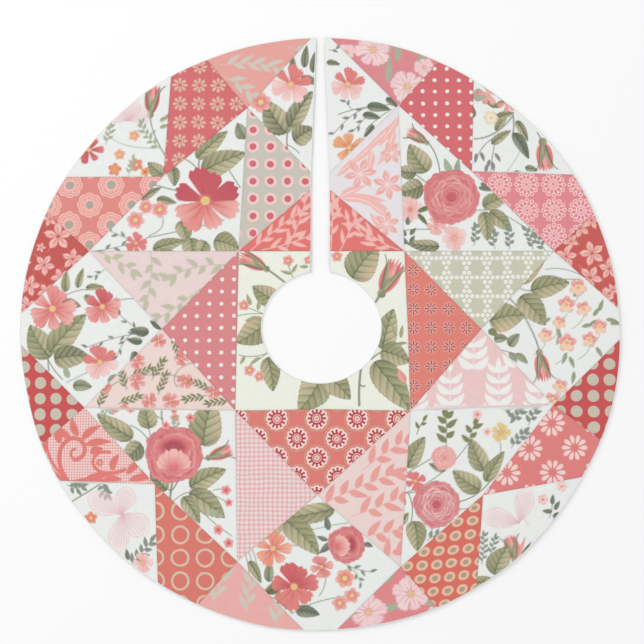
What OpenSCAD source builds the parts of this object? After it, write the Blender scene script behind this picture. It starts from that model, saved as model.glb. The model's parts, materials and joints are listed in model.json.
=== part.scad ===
// Round patchwork tree skirt: pieced top on a lining, turned hems at the rim and
// at the trunk hole, two flaps that fold back along a seam, and closure tabs.
// The centre is on the floor under the trunk hole; the slit runs towards +Y.

/* [Skirt] */
// Diameter of the skirt across the rim
skirt_d = 1118; // [960:1:1400]
// Diameter of the hole for the trunk
hole_d = 218; // [120:1:260]
// Width of the slit along its inner part
slit_w = 34; // [18:1:60]
// Width of the slit at the rim
slit_rim_w = 15; // [8:1:18]
// Distance from the centre at which the slit starts to narrow
slit_taper_y = 300; // [180:1:400]

/* [Cloth] */
// Distance between neighbouring seam crossings of the patchwork
block = 147; // [122:1:165]
// Thickness of the patchwork top
patch_t = 1; // [0.6:0.1:2]
// Thickness of the lining
lining_t = 0.6; // [0.4:0.1:1.5]
// Width of the turned hem at the rim and at the hole
hem_w = 14; // [8:1:30]
// Thickness of the turned hem under the lining
hem_t = 3; // [2.8:0.1:6]
// Width of the lining's turned edge that shows beside the hole
edge_w = 1.5; // [1:0.1:3]

/* [Fold] */
// Height of the fold line above the face, half the loft of the folded cloth
fold_loft = 3; // [2:0.5:8]

/* [Tabs] */
// Distances of the three closure tabs from the centre
tab_places = [205, 340, 475];
// Width of a tab along the slit
tab_w = 25; // [15:1:40]
// Length of a tab from its stitched end
tab_len = 64; // [56:1:80]
// Thickness of a tab
tab_t = 0.8; // [0.5:0.1:0.9]
// Length of a hook pad and of a loop pad
pad_len = 22; // [12:1:26]
// Thickness of a hook pad
hook_t = 0.8; // [0.5:0.1:0.9]
// Thickness of a loop pad
loop_t = 1; // [0.5:0.1:1.1]
// Distance of a tab's stitched end from the edge of the slit
tab_inset = 4; // [2:1:10]
// Margin of a pad inside its tab
pad_margin = 2; // [1:0.5:4]

/* [Hidden] */
$fn = 180;
rim_r = skirt_d / 2;
hole_r = hole_d / 2;
lining_z = hem_t;
patch_z = lining_z + lining_t;
top_z = patch_z + patch_t;
fold_y = block;
fold_z = top_z + fold_loft;

// the outermost seam crossings lie just beyond the rim
reach = max(4, 1.05 * rim_r / block);
// crossings that are cut and sewn off the regular lattice: [across, up, shift x, shift y];
// those on the fold line only shift along it
SHIFTS = [
  [-2, 4, 20, 0], [0, 4, 0, -10],
  [-1, 3, 10, -20], [1, 3, 0, -15],
  [-4, 2, 0, -5], [-2, 2, 0, -5], [0, 2, 0, -15], [2, 2, -10, 5], [4, 2, 0, -5],
  [-3, 1, 10, 0], [-1, 1, -5, 0], [1, 1, 10, 0], [3, 1, -5, 0],
  [2, 0, 5, 0], [4, 0, 0, 10],
  [-3, -1, 5, 0], [-1, -1, -10, -5], [1, -1, 20, -5], [3, -1, -10, 5],
  [-4, -2, 0, 15], [-2, -2, -10, 5], [0, -2, -5, -15], [2, -2, 5, -15], [4, -2, 0, 35],
  [-1, -3, -5, 10], [2, -4, -15, 0]
];

// a tab hangs this far under the lining, and clears its loop pad by pad_gap
tab_gap = 0.3;
pad_gap = 0.2;
loop_z = lining_z - loop_t;
tab_top_z = lining_z - tab_gap;
tab_open_top_z = loop_z - pad_gap - hook_t;
tab_axis_z = (tab_top_z + tab_open_top_z - tab_t) / 2;

coral = "#dc817c";
red = "#d6706f";
salmon = "#dda19a";
pink = "#e3b0ad";
pale = "#ecd9d5";
orange = "#dd8068";
sage = "#c9c6b4";
floral = "#e6e8e1";
cloth_back = "#efece6";

// seam crossings of the patchwork as [across, up], in blocks; the slit is up
PATCHES = [
  ["patch_centre_leaves", floral, [[-1, -1], [1, -1], [1, 1], [-1, 1]]],
  ["patch_wheat_left", red, [[-1, 1], [0, 1], [0, 2]]],
  ["patch_wheat_right", red, [[0, 1], [1, 1], [0, 2]]],
  ["patch_white_dots", coral, [[-1, 1], [-2, 0], [-1, -1]]],
  ["patch_starbursts", coral, [[1, -1], [2, 0], [1, 1]]],
  ["patch_gears", coral, [[-1, -1], [0, -2], [1, -1]]],
  ["patch_sage_vine", pale, [[-1, 1], [-3, 1], [-2, 0]]],
  ["patch_olive_sprigs", pale, [[-1, -1], [-2, 0], [-3, -1]]],
  ["patch_ringed_dots", sage, [[-1, 1], [0, 2], [-1, 3]]],
  ["patch_lilies", pale, [[1, 1], [1, 3], [0, 2]]],
  ["patch_lace_lattice", sage, [[1, 1], [2, 0], [3, 1]]],
  ["patch_laurel", pink, [[1, -1], [3, -1], [2, 0]]],
  ["patch_gingham", pale, [[-1, -1], [-1, -3], [0, -2]]],
  ["patch_coral_leaves", pale, [[1, -1], [0, -2], [1, -3]]],
  ["patch_cosmos_corner", floral, [[-1, 1], [-1, 3], [-2, 2], [-3, 1]]],
  ["patch_rose_corner", floral, [[1, 1], [3, 1], [2, 2], [1, 3]]],
  ["patch_peony_corner", floral, [[-1, -1], [-3, -1], [-2, -2], [-1, -3]]],
  ["patch_two_roses_corner", floral, [[1, -1], [1, -3], [2, -2], [3, -1]]],
  ["patch_left_diamond", floral, [[-3, 1], [-4, 0], [-3, -1], [-2, 0]]],
  ["patch_right_diamond", floral, [[3, 1], [2, 0], [3, -1], [4, 0]]],
  ["patch_back_diamond_left", floral, [[-1, 3], [0, 2], [0, 4]]],
  ["patch_back_diamond_right", floral, [[1, 3], [0, 4], [0, 2]]],
  ["patch_front_diamond", floral, [[-1, -3], [0, -4], [1, -3], [0, -2]]],
  ["patch_daisies", red, [[-1, 3], [-2, 4], [-2, 2]]],
  ["patch_bud_square", floral, [[-2, 2], [-2, 4], [-4, 4], [-4, 2]]],
  ["patch_medallions", salmon, [[-2, 2], [-4, 2], [-3, 1]]],
  ["patch_salmon_vine_back", salmon, [[-1, 3], [0, 4], [-2, 4]]],
  ["patch_pink_cosmos_back", coral, [[1, 3], [2, 4], [0, 4]]],
  ["patch_red_dots", red, [[1, 3], [2, 2], [2, 4]]],
  ["patch_branch_square", floral, [[2, 2], [4, 2], [4, 4], [2, 4]]],
  ["patch_lace_stars", pink, [[2, 2], [3, 1], [4, 2]]],
  ["patch_grey_dots_left", coral, [[-3, -1], [-4, 0], [-4, -2]]],
  ["patch_damask", coral, [[-2, -2], [-3, -1], [-4, -2]]],
  ["patch_butterfly_left", floral, [[-2, -2], [-4, -2], [-4, -4], [-2, -4]]],
  ["patch_tan_rings", orange, [[-1, -3], [-2, -2], [-2, -4]]],
  ["patch_salmon_vine_front", salmon, [[-1, -3], [-2, -4], [0, -4]]],
  ["patch_grey_dots_right", coral, [[3, -1], [4, -2], [4, 0]]],
  ["patch_pale_daisies", coral, [[2, -2], [4, -2], [3, -1]]],
  ["patch_butterfly_right", floral, [[2, -2], [2, -4], [4, -4], [4, -2]]],
  ["patch_oval_dots", orange, [[1, -3], [2, -4], [2, -2]]],
  ["patch_pink_cosmos_front", coral, [[1, -3], [0, -4], [2, -4]]]
];

// the two patches that the fold crosses are in two solids each, and share a cloth
FOLDED = [
  ["patch_blossoms_left", [[-3, 1], [-4, 2], [-4, 0]]],
  ["patch_blossoms_right", [[3, 1], [4, 0], [4, 2]]]
];

TAB_NODES = [
  for (i = [0 : len(tab_places) - 1]) for (kind = ["tab_", "hook_pad_"]) str(kind, i + 1)
];

// where a seam crossing lies on the floor plan
function place(c) =
  let (found = [for (m = SHIFTS) if (m[0] == c[0] && m[1] == c[1]) [m[2], m[3]]])
  [for (k = c) abs(k) == 4 ? sign(k) * reach * block : k * block]
  + (len(found) > 0 ? found[0] : [0, 0]);

// half the slit's width at distance y from the centre
function slit_half(y) = y <= slit_taper_y ? slit_w / 2
  : slit_w / 2 - (slit_w - slit_rim_w) / 2 * (y - slit_taper_y) / (rim_r - slit_taper_y);

module slit_outline() {
  y_end = rim_r * 1.1;
  half = slit_half(y_end);
  polygon([[-slit_w / 2, 0], [slit_w / 2, 0], [slit_w / 2, slit_taper_y],
    [half, y_end], [-half, y_end], [-slit_w / 2, slit_taper_y]]);
}

// a ring about the trunk, cut by the slit
module slit_ring(outer_r, inner_r, z, h) {
  translate([0, 0, z]) difference() {
    cylinder(r = outer_r, h = h);
    translate([0, 0, -1]) cylinder(r = inner_r, h = h + 2);
    translate([0, 0, -1]) linear_extrude(h + 2) slit_outline();
  }
}

// the part of a cloth on the body (side 0), the left flap (-1) or the right flap (1)
module on_side(side) {
  big = rim_r * 2.2;
  intersection() {
    children();
    translate([side == 0 ? -big / 2 : side < 0 ? -big : 0,
      side == 0 ? fold_y - big : fold_y, -1])
      cube([big, big, top_z + 2]);
  }
}

module patch_cloth(corners, tint) {
  color(tint) intersection() {
    slit_ring(rim_r, hole_r + edge_w, patch_z, patch_t);
    translate([0, 0, patch_z - 1])
      linear_extrude(patch_t + 2) polygon([for (c = corners) place(c)]);
  }
}

module lining(side) {
  color(cloth_back) on_side(side)
    slit_ring(rim_r, hole_r + edge_w, lining_z, lining_t);
}

module rim_hem(side) {
  color(cloth_back) on_side(side) slit_ring(rim_r, rim_r - hem_w, 0, hem_t);
}

// the lining turned down under the hole's edge and up beside it
module hole_hem() {
  color(cloth_back) {
    slit_ring(hole_r + hem_w, hole_r, 0, hem_t);
    slit_ring(hole_r + edge_w, hole_r, 0, top_z);
  }
}

// where a tab's stitched end lies across the slit
function tab_x(y) = -slit_half(y - tab_w / 2) - tab_inset;

module tab(y) {
  color(cloth_back) translate([tab_x(y) - tab_len, y - tab_w / 2, tab_top_z - tab_t])
    cube([tab_len, tab_w, tab_t]);
}

module hook_pad(y) {
  color("#f4f2ee")
    translate([tab_x(y) - tab_len + pad_margin, y - tab_w / 2 + pad_margin,
      tab_top_z - tab_t - hook_t])
      cube([pad_len, tab_w - 2 * pad_margin, hook_t]);
}

// sewn under the right flap where the hook pads reach when the tabs cross the slit
module loop_pads() {
  color("#f4f2ee") for (y = tab_places)
    translate([tab_x(y) + tab_len - pad_margin - pad_len, y - tab_w / 2 + pad_margin, loop_z])
      cube([pad_len, tab_w - 2 * pad_margin, loop_t]);
}

for (p = PATCHES)
  patch_cloth(p[2], p[1]);
for (p = FOLDED) {
  flap = p[1][0][0] < 0 ? -1 : 1;
  on_side(flap) patch_cloth(p[1], red);
  on_side(0) patch_cloth(p[1], red);
}
lining(0);  // lining_body
lining(-1);  // lining_left_flap
lining(1);  // lining_right_flap
rim_hem(0);  // rim_hem_body
rim_hem(-1);  // rim_hem_left_flap
rim_hem(1);  // rim_hem_right_flap
hole_hem();
for (i = [0 : len(tab_places) - 1]) {
  tab(tab_places[i]);
  hook_pad(tab_places[i]);
}
loop_pads();
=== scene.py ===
import json
import math
from functools import partial

import bmesh
import bpy
import numpy as np
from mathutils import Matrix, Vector


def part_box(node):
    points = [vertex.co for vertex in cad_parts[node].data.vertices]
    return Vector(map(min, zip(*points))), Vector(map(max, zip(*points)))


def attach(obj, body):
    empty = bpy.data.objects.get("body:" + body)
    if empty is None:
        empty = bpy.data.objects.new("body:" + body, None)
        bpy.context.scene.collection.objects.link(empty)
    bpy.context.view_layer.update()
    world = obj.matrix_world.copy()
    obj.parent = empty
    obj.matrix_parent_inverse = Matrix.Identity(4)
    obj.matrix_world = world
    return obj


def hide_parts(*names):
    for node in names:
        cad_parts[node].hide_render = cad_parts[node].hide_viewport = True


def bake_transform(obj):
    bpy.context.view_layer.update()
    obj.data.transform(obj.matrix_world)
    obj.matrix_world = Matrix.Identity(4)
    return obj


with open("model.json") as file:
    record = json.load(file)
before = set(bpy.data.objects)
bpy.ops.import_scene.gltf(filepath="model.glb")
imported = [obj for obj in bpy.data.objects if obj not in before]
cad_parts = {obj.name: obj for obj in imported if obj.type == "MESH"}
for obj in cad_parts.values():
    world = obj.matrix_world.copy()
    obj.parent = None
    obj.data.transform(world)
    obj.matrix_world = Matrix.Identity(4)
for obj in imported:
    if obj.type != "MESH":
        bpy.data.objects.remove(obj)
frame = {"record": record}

print("skirt: frame loaded")
mm = 0.001
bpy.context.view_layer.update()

# plan sizes in millimetres, read from the frame where it holds them
skirt = {
    "rim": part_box("lining_body")[1].x / mm,             # radius of the rim
    "hole": frame["record"]["mounts"][0]["dims"]["r_mm"],
    "block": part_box("patch_wheat_left")[0].y / mm,      # between seam crossings; also where the fold is
    "slit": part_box("patch_wheat_right")[0].x / mm,      # half the slit's width, inner part
    "slitRim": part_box("lining_right_flap")[0].x / mm,   # the same at the rim
    "slitTaper": 300.0,
    "liningLow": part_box("lining_body")[0].z / mm,
    "patchLow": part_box("patch_gears")[0].z / mm,
    "top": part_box("patch_gears")[1].z / mm,
    "turn": 1.3,        # how much of the turned lining shows beside the top
    "bend": 24.0,       # how near the fold a flap's piece must reach to be baked in place
}
# how the cloth lies: waves round the rim (count, height, start) that die out inwards, broad swells, and how far
# the rim and the hole's right and front edges have drifted
lie = {"rimWaves": [(5, 0.7, 0.4), (9, 0.5, 2.0), (14, 0.4, 1.1)], "lift": 0.8, "swell": 0.5, "rimDrift": 0.006,
       "holeReach": 90, "holeRight": 4, "holeFront": 8}
# seam crossings off the regular lattice: (across, up): (shift x, shift y)
shifts = {
    (-2, 4): (20, 0), (0, 4): (0, -10),
    (-1, 3): (10, -20), (1, 3): (0, -15),
    (-4, 2): (0, -5), (-2, 2): (0, -5), (0, 2): (0, -15), (2, 2): (-10, 5), (4, 2): (0, -5),
    (-3, 1): (10, 0), (-1, 1): (-5, 0), (1, 1): (10, 0), (3, 1): (-5, 0),
    (2, 0): (5, 0), (4, 0): (0, 10),
    (-3, -1): (5, 0), (-1, -1): (-10, -5), (1, -1): (20, -5), (3, -1): (-10, 5),
    (-4, -2): (0, 15), (-2, -2): (-10, 5), (0, -2): (-5, -15), (2, -2): (5, -15), (4, -2): (0, 35),
    (-1, -3): (-5, 10), (2, -4): (-15, 0),
}
bodyOf = {node: body for body, nodes in frame["record"]["behaviour"]["bodies"].items() for node in nodes}


def hue(code):
    # a web colour as linear red, green and blue
    c = np.array([int(code[i:i + 2], 16) for i in (1, 3, 5)]) / 255
    return np.where(c < 0.04045, c / 12.92, ((c + 0.055) / 1.055) ** 2.4)


def place(corner):
    # where a seam crossing lies on the plan
    reach = max(4, 1.05 * skirt["rim"] / skirt["block"])
    flat = [math.copysign(reach, k) if abs(k) == 4 else k for k in corner]
    return np.array(flat) * skirt["block"] + shifts.get(tuple(corner), (0, 0))


def slitHalf(y):
    # half the slit's width: even, then narrowing in a straight line to the rim
    share = np.clip((y - skirt["slitTaper"]) / (skirt["rim"] - skirt["slitTaper"]), 0, 1)
    return skirt["slit"] + (skirt["slitRim"] - skirt["slit"]) * share


def rolling(x, y):
    # height of the lying cloth: sine waves round the rim, faded in from half way out, plus two crossed swells
    r, a = np.hypot(x, y), np.arctan2(y, x)
    fade = np.clip((r / skirt["rim"] - 0.5) / 0.5, 0, 1) ** 2
    waves = sum(size * np.sin(count * a + start) for count, size, start in lie["rimWaves"])
    swells = np.sin(x / 92 + y / 151 + 0.6) * np.sin(y / 118 - x / 203 + 1.9)
    return fade * (waves + lie["lift"]) + lie["swell"] * swells * np.clip(r / skirt["hole"] - 0.9, 0, 1)


def drifted(x, y):
    # the rim is not cut quite round: radius times (1 - a small wave), faded in near the rim;
    # the hole's front edge lies a little inwards and its right edge a little outwards, fading with distance
    r, a = np.hypot(x, y), np.arctan2(y, x)
    fade = np.clip((r / skirt["rim"] - 0.7) / 0.3, 0, 1) ** 2
    wave = 0.5 + 0.28 * np.sin(8 * a + 0.3) + 0.14 * np.sin(13 * a + 2) + 0.08 * np.sin(23 * a)
    scale = 1 - lie["rimDrift"] * fade * wave
    near = np.clip(1 - (r - skirt["hole"]) / lie["holeReach"], 0, 1) ** 2
    right = lie["holeRight"] * near * np.clip(np.cos(a), 0, 1) ** 2
    front = lie["holeFront"] * near * np.clip(0.4 - 0.6 * np.sin(a), 0, 1)
    return x * scale + right, y * scale + front


def edgeGap(x, y):
    # distance to the nearest outer edge: rim, hole or slit
    r = np.hypot(x, y)
    slit = np.where(y > 0, np.abs(x) - slitHalf(y), 1e3)
    return np.minimum(np.minimum(skirt["rim"] - r, r - skirt["hole"]), slit)


def seamGap(corners, x, y):
    # distance to the nearest side of a patch
    points = [place(c) for c in corners]
    gap = np.full(np.shape(x), 1e3)
    for a, b in zip(points, points[1:] + points[:1]):
        along = (b - a) / np.linalg.norm(b - a)
        gap = np.minimum(gap, np.abs((x - a[0]) * along[1] - (y - a[1]) * along[0]))
    return gap


def eased(count, ease):
    # numbers from 0 to 1 that stand closer together near both ends
    s = np.linspace(0, 1, count)
    return s - ease * np.sin(2 * np.pi * s) / (2 * np.pi)


def across(points, y):
    # leftmost and rightmost x of a convex outline at each height y
    low, high = np.full(y.shape, 1e4), np.full(y.shape, -1e4)
    for a, b in zip(points, points[1:] + points[:1]):
        if abs(b[1] - a[1]) < 1e-6:
            continue
        t = (y - a[1]) / (b[1] - a[1])
        x = np.where((t > -1e-5) & (t < 1 + 1e-5), a[0] + t * (b[0] - a[0]), np.nan)
        low, high = np.fmin(low, x), np.fmax(high, x)
    return low, high


def rowGrid(corners, spacing, ease, inset):
    # rows across a patch, each from its left limit to its right limit; limits are sides, rim and slit
    points = [place(c) for c in corners] if len(corners[0]) == 2 else [np.array(c[:2]) for c in corners]
    side = np.sign(np.mean([p[0] for p in points])) if max(p[1] for p in points) > 0 else 0

    def limits(y):
        low, high = across(points, y)
        rim = np.sqrt(np.clip((skirt["rim"] - inset) ** 2 - y ** 2, 0, None))
        slit = slitHalf(y) + inset * 0.7
        left = [low, -rim] + ([slit] if side > 0 else [])
        right = [high, rim] + ([-slit] if side < 0 else [])
        return np.max(left, 0), np.min(right, 0), np.argmax(left, 0), np.argmin(right, 0)

    ys = np.linspace(min(p[1] for p in points), max(p[1] for p in points), 6001)
    left, right, whichLeft, whichRight = limits(ys)
    valid = np.flatnonzero((right - left > 0.01) & (right - left < 1e3))
    first, last = ys[valid[0]], ys[valid[-1]]
    turns = np.flatnonzero((np.diff(whichLeft) != 0) | (np.diff(whichRight) != 0))
    marks = [first, last] + [p[1] for p in points] + list(ys[turns])
    marks += [skirt["slitTaper"]] if side else []
    marks = sorted({round(float(m), 3) for m in marks if first - 1e-6 <= m <= last + 1e-6})
    marks = [marks[0]] + [b for a, b in zip(marks, marks[1:]) if b - a > 0.3]
    rows = [np.array([marks[0]])]
    for a, b in zip(marks, marks[1:]):
        rows.append(a + (b - a) * eased(max(2, int((b - a) / spacing) + 2), ease)[1:])
    y = np.concatenate(rows)
    left, right = limits(np.clip(y, first, last))[:2]
    point = right - left < 0.2      # a row at a tip shrinks to one point
    left = np.where(point, (left + right) / 2, left)
    right = np.where(point, left, right)
    columns = eased(max(6, int((right - left).max() / spacing) + 2), ease)
    x = left[:, None] + (right - left)[:, None] * columns
    return x, np.repeat(y[:, None], len(columns), 1)


def ringGrid(outer, spacing, ease, inset):
    # straight lines from the hole's edge out to an outline that starts and ends at the slit
    path = []
    for a, b in zip(outer, outer[1:]):
        count = max(2, int(np.linalg.norm(b - a) / spacing) + 1)
        path.append(a + (b - a) * np.linspace(0, 1, count, endpoint=False)[:, None])
    path = np.concatenate(path + [outer[-1][None]])
    hole = skirt["hole"] + inset
    angle = np.unwrap(np.arctan2(path[:, 1], path[:, 0]))
    begin = math.acos(outer[0][0] / hole)
    finish = -math.pi - begin
    angle = begin + (angle - angle[0]) / (angle[-1] - angle[0]) * (finish - begin)
    inner = hole * np.stack([np.cos(angle), np.sin(angle)], 1)
    depth = np.linalg.norm(path - inner, axis=1).max()
    s = eased(int(depth / spacing) + 4, ease)[None, :, None]
    grid = inner[:, None] + (path - inner)[:, None] * s
    return grid[..., 0], grid[..., 1]


def meshFrom(name, points, quads, rest, marks):
    # a mesh from points, an array of quads and a list of longer faces; marks are its attributes
    mesh = bpy.data.meshes.new(name)
    loops = np.concatenate([quads.ravel()] + [np.asarray(f) for f in rest]).astype(np.int32)
    sizes = np.array([4] * len(quads) + [len(f) for f in rest])
    starts = np.concatenate([[0], np.cumsum(sizes)[:-1]]).astype(np.int32)
    mesh.vertices.add(len(points))
    mesh.vertices.foreach_set("co", (points * mm).astype(np.float32).ravel())
    mesh.loops.add(len(loops))
    mesh.loops.foreach_set("vertex_index", loops)
    mesh.polygons.add(len(sizes))
    mesh.polygons.foreach_set("loop_start", starts)
    mesh.polygons.foreach_set("use_smooth", np.ones(len(sizes), bool))
    kinds = {1: ("FLOAT", "value"), 3: ("FLOAT_VECTOR", "vector"), 4: ("FLOAT_COLOR", "color")}
    for key, values in marks.items():
        kind, field = kinds[values.shape[1] if values.ndim == 2 else 1]
        layer = mesh.attributes.new(key, kind, "POINT")
        layer.data.foreach_set(field, values.astype(np.float32).ravel())
    mesh.update(calc_edges=True)
    shape = bmesh.new()
    shape.from_mesh(mesh)
    bmesh.ops.remove_doubles(shape, verts=shape.verts, dist=2e-6)
    bmesh.ops.dissolve_degenerate(shape, edges=shape.edges, dist=1e-7)
    shape.to_mesh(mesh)
    shape.free()
    mesh.validate()
    piece = bpy.data.objects.new(name, mesh)
    bpy.context.collection.objects.link(piece)
    return piece


def outwards(piece):
    # turn the faces of a closed piece to the outside
    shape = bmesh.new()
    shape.from_mesh(piece.data)
    if shape.calc_volume(signed=True) < 0:
        bmesh.ops.reverse_faces(shape, faces=shape.faces)
        shape.to_mesh(piece.data)
    shape.free()
    return piece


def clothPiece(name, x, y, high, low, marks, coarse=14):
    # a closed cloth: the full grid on top, every row but few columns underneath, and thin walls between
    rows, columns = x.shape
    pick = np.unique(np.linspace(0, columns - 1, min(columns, coarse)).round().astype(int))
    px, py = drifted(x, y)
    top = np.stack([px, py, high], -1).reshape(-1, 3)
    under = np.stack([px[:, pick], py[:, pick], low[:, pick]], -1).reshape(-1, 3)
    a = np.arange(rows * columns).reshape(rows, columns)
    b = rows * columns + np.arange(rows * len(pick)).reshape(rows, len(pick))
    face = np.stack([a[:-1, :-1], a[:-1, 1:], a[1:, 1:], a[1:, :-1]], -1).reshape(-1, 4)
    back = np.stack([b[:-1, :-1], b[1:, :-1], b[1:, 1:], b[:-1, 1:]], -1).reshape(-1, 4)
    left = np.stack([a[:-1, 0], a[1:, 0], b[1:, 0], b[:-1, 0]], -1)
    right = np.stack([a[1:, -1], a[:-1, -1], b[:-1, -1], b[1:, -1]], -1)
    quads = np.concatenate([face, back, left, right])
    start = np.concatenate([b[0], a[0][::-1]])
    end = np.concatenate([a[-1], b[-1][::-1]])
    rest = [f for f, row in ((start, 0), (end, -1)) if np.ptp(x[row]) + np.ptp(y[row]) > 0.05]
    flat = {}
    for key, values in marks.items():
        flat[key] = np.concatenate([values.reshape(rows * columns, -1), values[:, pick].reshape(b.size, -1)])
        flat[key] = flat[key][:, 0] if values.ndim == 2 else flat[key]
    return outwards(meshFrom(name, np.concatenate([top, under]), quads, rest, flat))


# inks of the printed flowers
ink = {
    "leafLight": hue("#c2bd9c"), "leafDark": hue("#83875f"), "leafVein": hue("#59604a"),
    "leafTan": hue("#d6bb9c"), "sage": hue("#a9b09a"), "grey": hue("#8b9488"), "stem": hue("#848c78"),
    "twig": hue("#8d8a8a"),
    "coral": hue("#e08580"), "deepCoral": hue("#c95f66"), "rose": hue("#de7f80"), "blush": hue("#efbab3"),
    "pale": hue("#f3d9d6"), "orange": hue("#e5a06a"), "yellow": hue("#e3cf8c"), "wine": hue("#bf5a66"),
    "white": hue("#eeeeea"), "mauve": hue("#ddb0bb"), "rosy": hue("#e8a39c"), "cream": hue("#f0dfb8"),
    "mist": hue("#cdc8ba"), "haze": hue("#c3c0aa"), "salmon": hue("#e8907c"), "peach": hue("#f0bda2"),
    "mask": np.ones(3), "shell": hue("#f6c8bf"), "shellDark": hue("#e6a49c"), "lilac": hue("#efc6cd"),
}


def mix(a, b, share):
    return a + (b - a) * np.asarray(share)[..., None]


def facing(turn):
    # cosine and sine of an angle in degrees
    return math.cos(math.radians(turn)), math.sin(math.radians(turn))


def heading(a, b):
    # direction from a to b, in degrees
    return math.degrees(math.atan2(b[1] - a[1], b[0] - a[0]))


def each(motif, spots, *same, **named):
    # one motif at each spot, with its other values shared
    for spot in spots:
        motif(*spot, *same, **named)


class Print:
    # the colours printed on a patch, and the motifs that lay ink on them
    def __init__(self, x, y, ground):
        self.x, self.y = x.ravel(), y.ravel()
        self.blur = 1.3
        self.colour = np.tile(hue(ground), (self.x.size, 1))

    def frame(self, cx, cy, reach, turn):
        # the points near a motif, and their places along and beside its axis
        at = np.flatnonzero((np.abs(self.x - cx) < reach) & (np.abs(self.y - cy) < reach))
        dx, dy = self.x[at] - cx, self.y[at] - cy
        c, s = facing(turn)
        return at, dx * c + dy * s, dy * c - dx * s

    def lay(self, at, depth, tint, strength=1.0):
        # depth is the distance inside the shape's edge
        mask = np.clip(0.5 + depth / self.blur, 0, 1) * strength
        self.colour[at] += mask[:, None] * (tint - self.colour[at])

    def rib(self, cx, cy, length, width, turn, bow):
        # the points near a leaf: their share of its length, and of its half width from its bowed middle line
        at, u, v = self.frame(cx, cy, length * 1.1, turn)
        u, v = u / length, v / (width / 2)
        return at, u, v - bow * np.sin(np.pi * np.clip(u, 0, 1))

    def blade(self, cx, cy, length, width, turn, light="leafLight", dark="leafDark", bow=0.12):
        # a plain leaf in two tones: half width = sine of the length's power 0.72, blunted
        at, u, v = self.rib(cx, cy, length, width, turn, bow)
        wide = np.sin(np.pi * np.clip(u, 0, 1) ** 0.72) ** 0.85
        depth = np.where((u > 0) & (u < 1), (wide - np.abs(v)) * width / 2, -9)
        self.lay(at, depth, mix(ink[light], ink[dark], 0.30 + 0.28 * (v > 0)))

    def leaf(self, cx, cy, length, width, turn, light="leafLight", dark="leafDark", tan=0.3):
        # half width = sine of the length's power 0.66, with fine saw teeth; side veins curve forward
        at, u, v = self.rib(cx, cy, length, width, turn, 0.12)
        inside, beside = np.clip(u, 0, 1), np.abs(v)
        wide = np.sin(np.pi * inside ** 0.66) ** 0.72 * (1 + 0.07 * ((u * 11 + beside * 0.8) % 1 - 0.6))
        depth = np.where((u > 0) & (u < 1), (wide - beside) * width / 2, -9)
        side = np.where(v > 0, 1.0, -1.0)
        fan = (inside ** 0.9 * 5.4 - beside ** 1.25 * 1.5 + 0.2 * side) % 1
        glow = np.clip(1.25 * beside - 0.15, 0, 1) * (0.5 + 0.5 * np.sin(u * 5 + cx))
        tint = mix(ink[dark], ink[light], np.clip(0.28 + 0.5 * fan + 0.35 * glow - 0.18 * side, 0, 1))
        tint = mix(tint, ink["leafTan"], tan * np.clip(beside * 1.5 - 0.35, 0, 1) * (v < 0.15))
        vein = np.exp(-(np.minimum(fan, 1 - fan) / 0.11) ** 2) * (1.0 - 0.6 * beside)
        tint = mix(tint, ink["leafVein"], np.clip(vein, 0, 1) * 0.6)
        tint = mix(tint, ink["leafVein"], np.exp(-(v * width / 2 / 1.2) ** 2) * 0.9 * (1 - 0.45 * inside))
        tint = mix(tint, ink["leafVein"], np.clip(0.5 - 1.6 * inside, 0, 1) * 0.7)
        self.lay(at, depth, tint)
        self.lay(at, 0.6 - np.abs(depth - 0.5), ink["leafVein"], 0.35)

    def stem(self, points, width=1.8, tint="stem", strength=0.9):
        # a smooth line led by two to four guide points, as one Bezier curve
        strength *= min(1, 0.5 + 0.25 * width)      # a thin line is drawn wider and fainter
        width = max(width, 2.0)
        t = np.linspace(0, 1, 22)[:, None]
        g = list(np.reshape(points, (-1, 2)).astype(float))
        if len(g) == 2:
            g = [g[0], (g[0] + g[1]) / 2, g[1]]
        if len(g) == 3:
            curve = (1 - t) ** 2 * g[0] + 2 * t * (1 - t) * g[1] + t ** 2 * g[2]
        else:
            weights = ((1 - t) ** 3, 3 * t * (1 - t) ** 2, 3 * t * t * (1 - t), t ** 3)
            curve = sum(w * p for w, p in zip(weights, g))
        low, high = curve.min(0) - width, curve.max(0) + width
        at = np.flatnonzero((self.x > low[0]) & (self.x < high[0]) & (self.y > low[1]) & (self.y < high[1]))
        spot = np.stack([self.x[at], self.y[at]], 1)
        gap = np.full(at.size, 1e3)
        for a, b in zip(curve, curve[1:]):
            s = np.clip(((spot - a) @ (b - a)) / max((b - a) @ (b - a), 1e-9), 0, 1)[:, None]
            gap = np.minimum(gap, np.linalg.norm(spot - a - s * (b - a), axis=1))
        self.lay(at, width / 2 - gap, ink[tint], strength)
        return curve

    def stems(self, rows, *style):
        # each row is a width and the places of its guide points
        for width, *points in rows:
            self.stem(points, width, *style)

    def vine(self, points, step, length, width, tint, spread=48, stemWidth=1.2):
        # a stem with plain leaves on both sides, slanting forward
        curve = self.stem(points, stemWidth, tint)
        legs = np.concatenate([[0], np.cumsum(np.linalg.norm(np.diff(curve, axis=0), axis=1))])
        for k, s in enumerate(np.arange(step * 0.6, legs[-1], step)):
            here, ahead = ([np.interp(way, legs, curve[:, i]) for i in (0, 1)] for way in (s, s + 2))
            turn = heading(here, ahead)
            for sign, off in ((1, 0), (-1, 0.5 * step)):
                foot = here + off * np.array(facing(turn))
                size = length * (0.86 + 0.14 * math.sin(k * 2.4 + sign))
                self.blade(*foot, size, width, turn + sign * spread, tint, tint, bow=0.1 * sign)
        self.blade(*curve[-1], length, width, heading(curve[-2], curve[-1]), tint, tint)

    def cosmos(self, cx, cy, r, turn=0, inner="coral", outer="blush", petals=8, back=None, wide=0.27,
               heart="yellow"):
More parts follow.
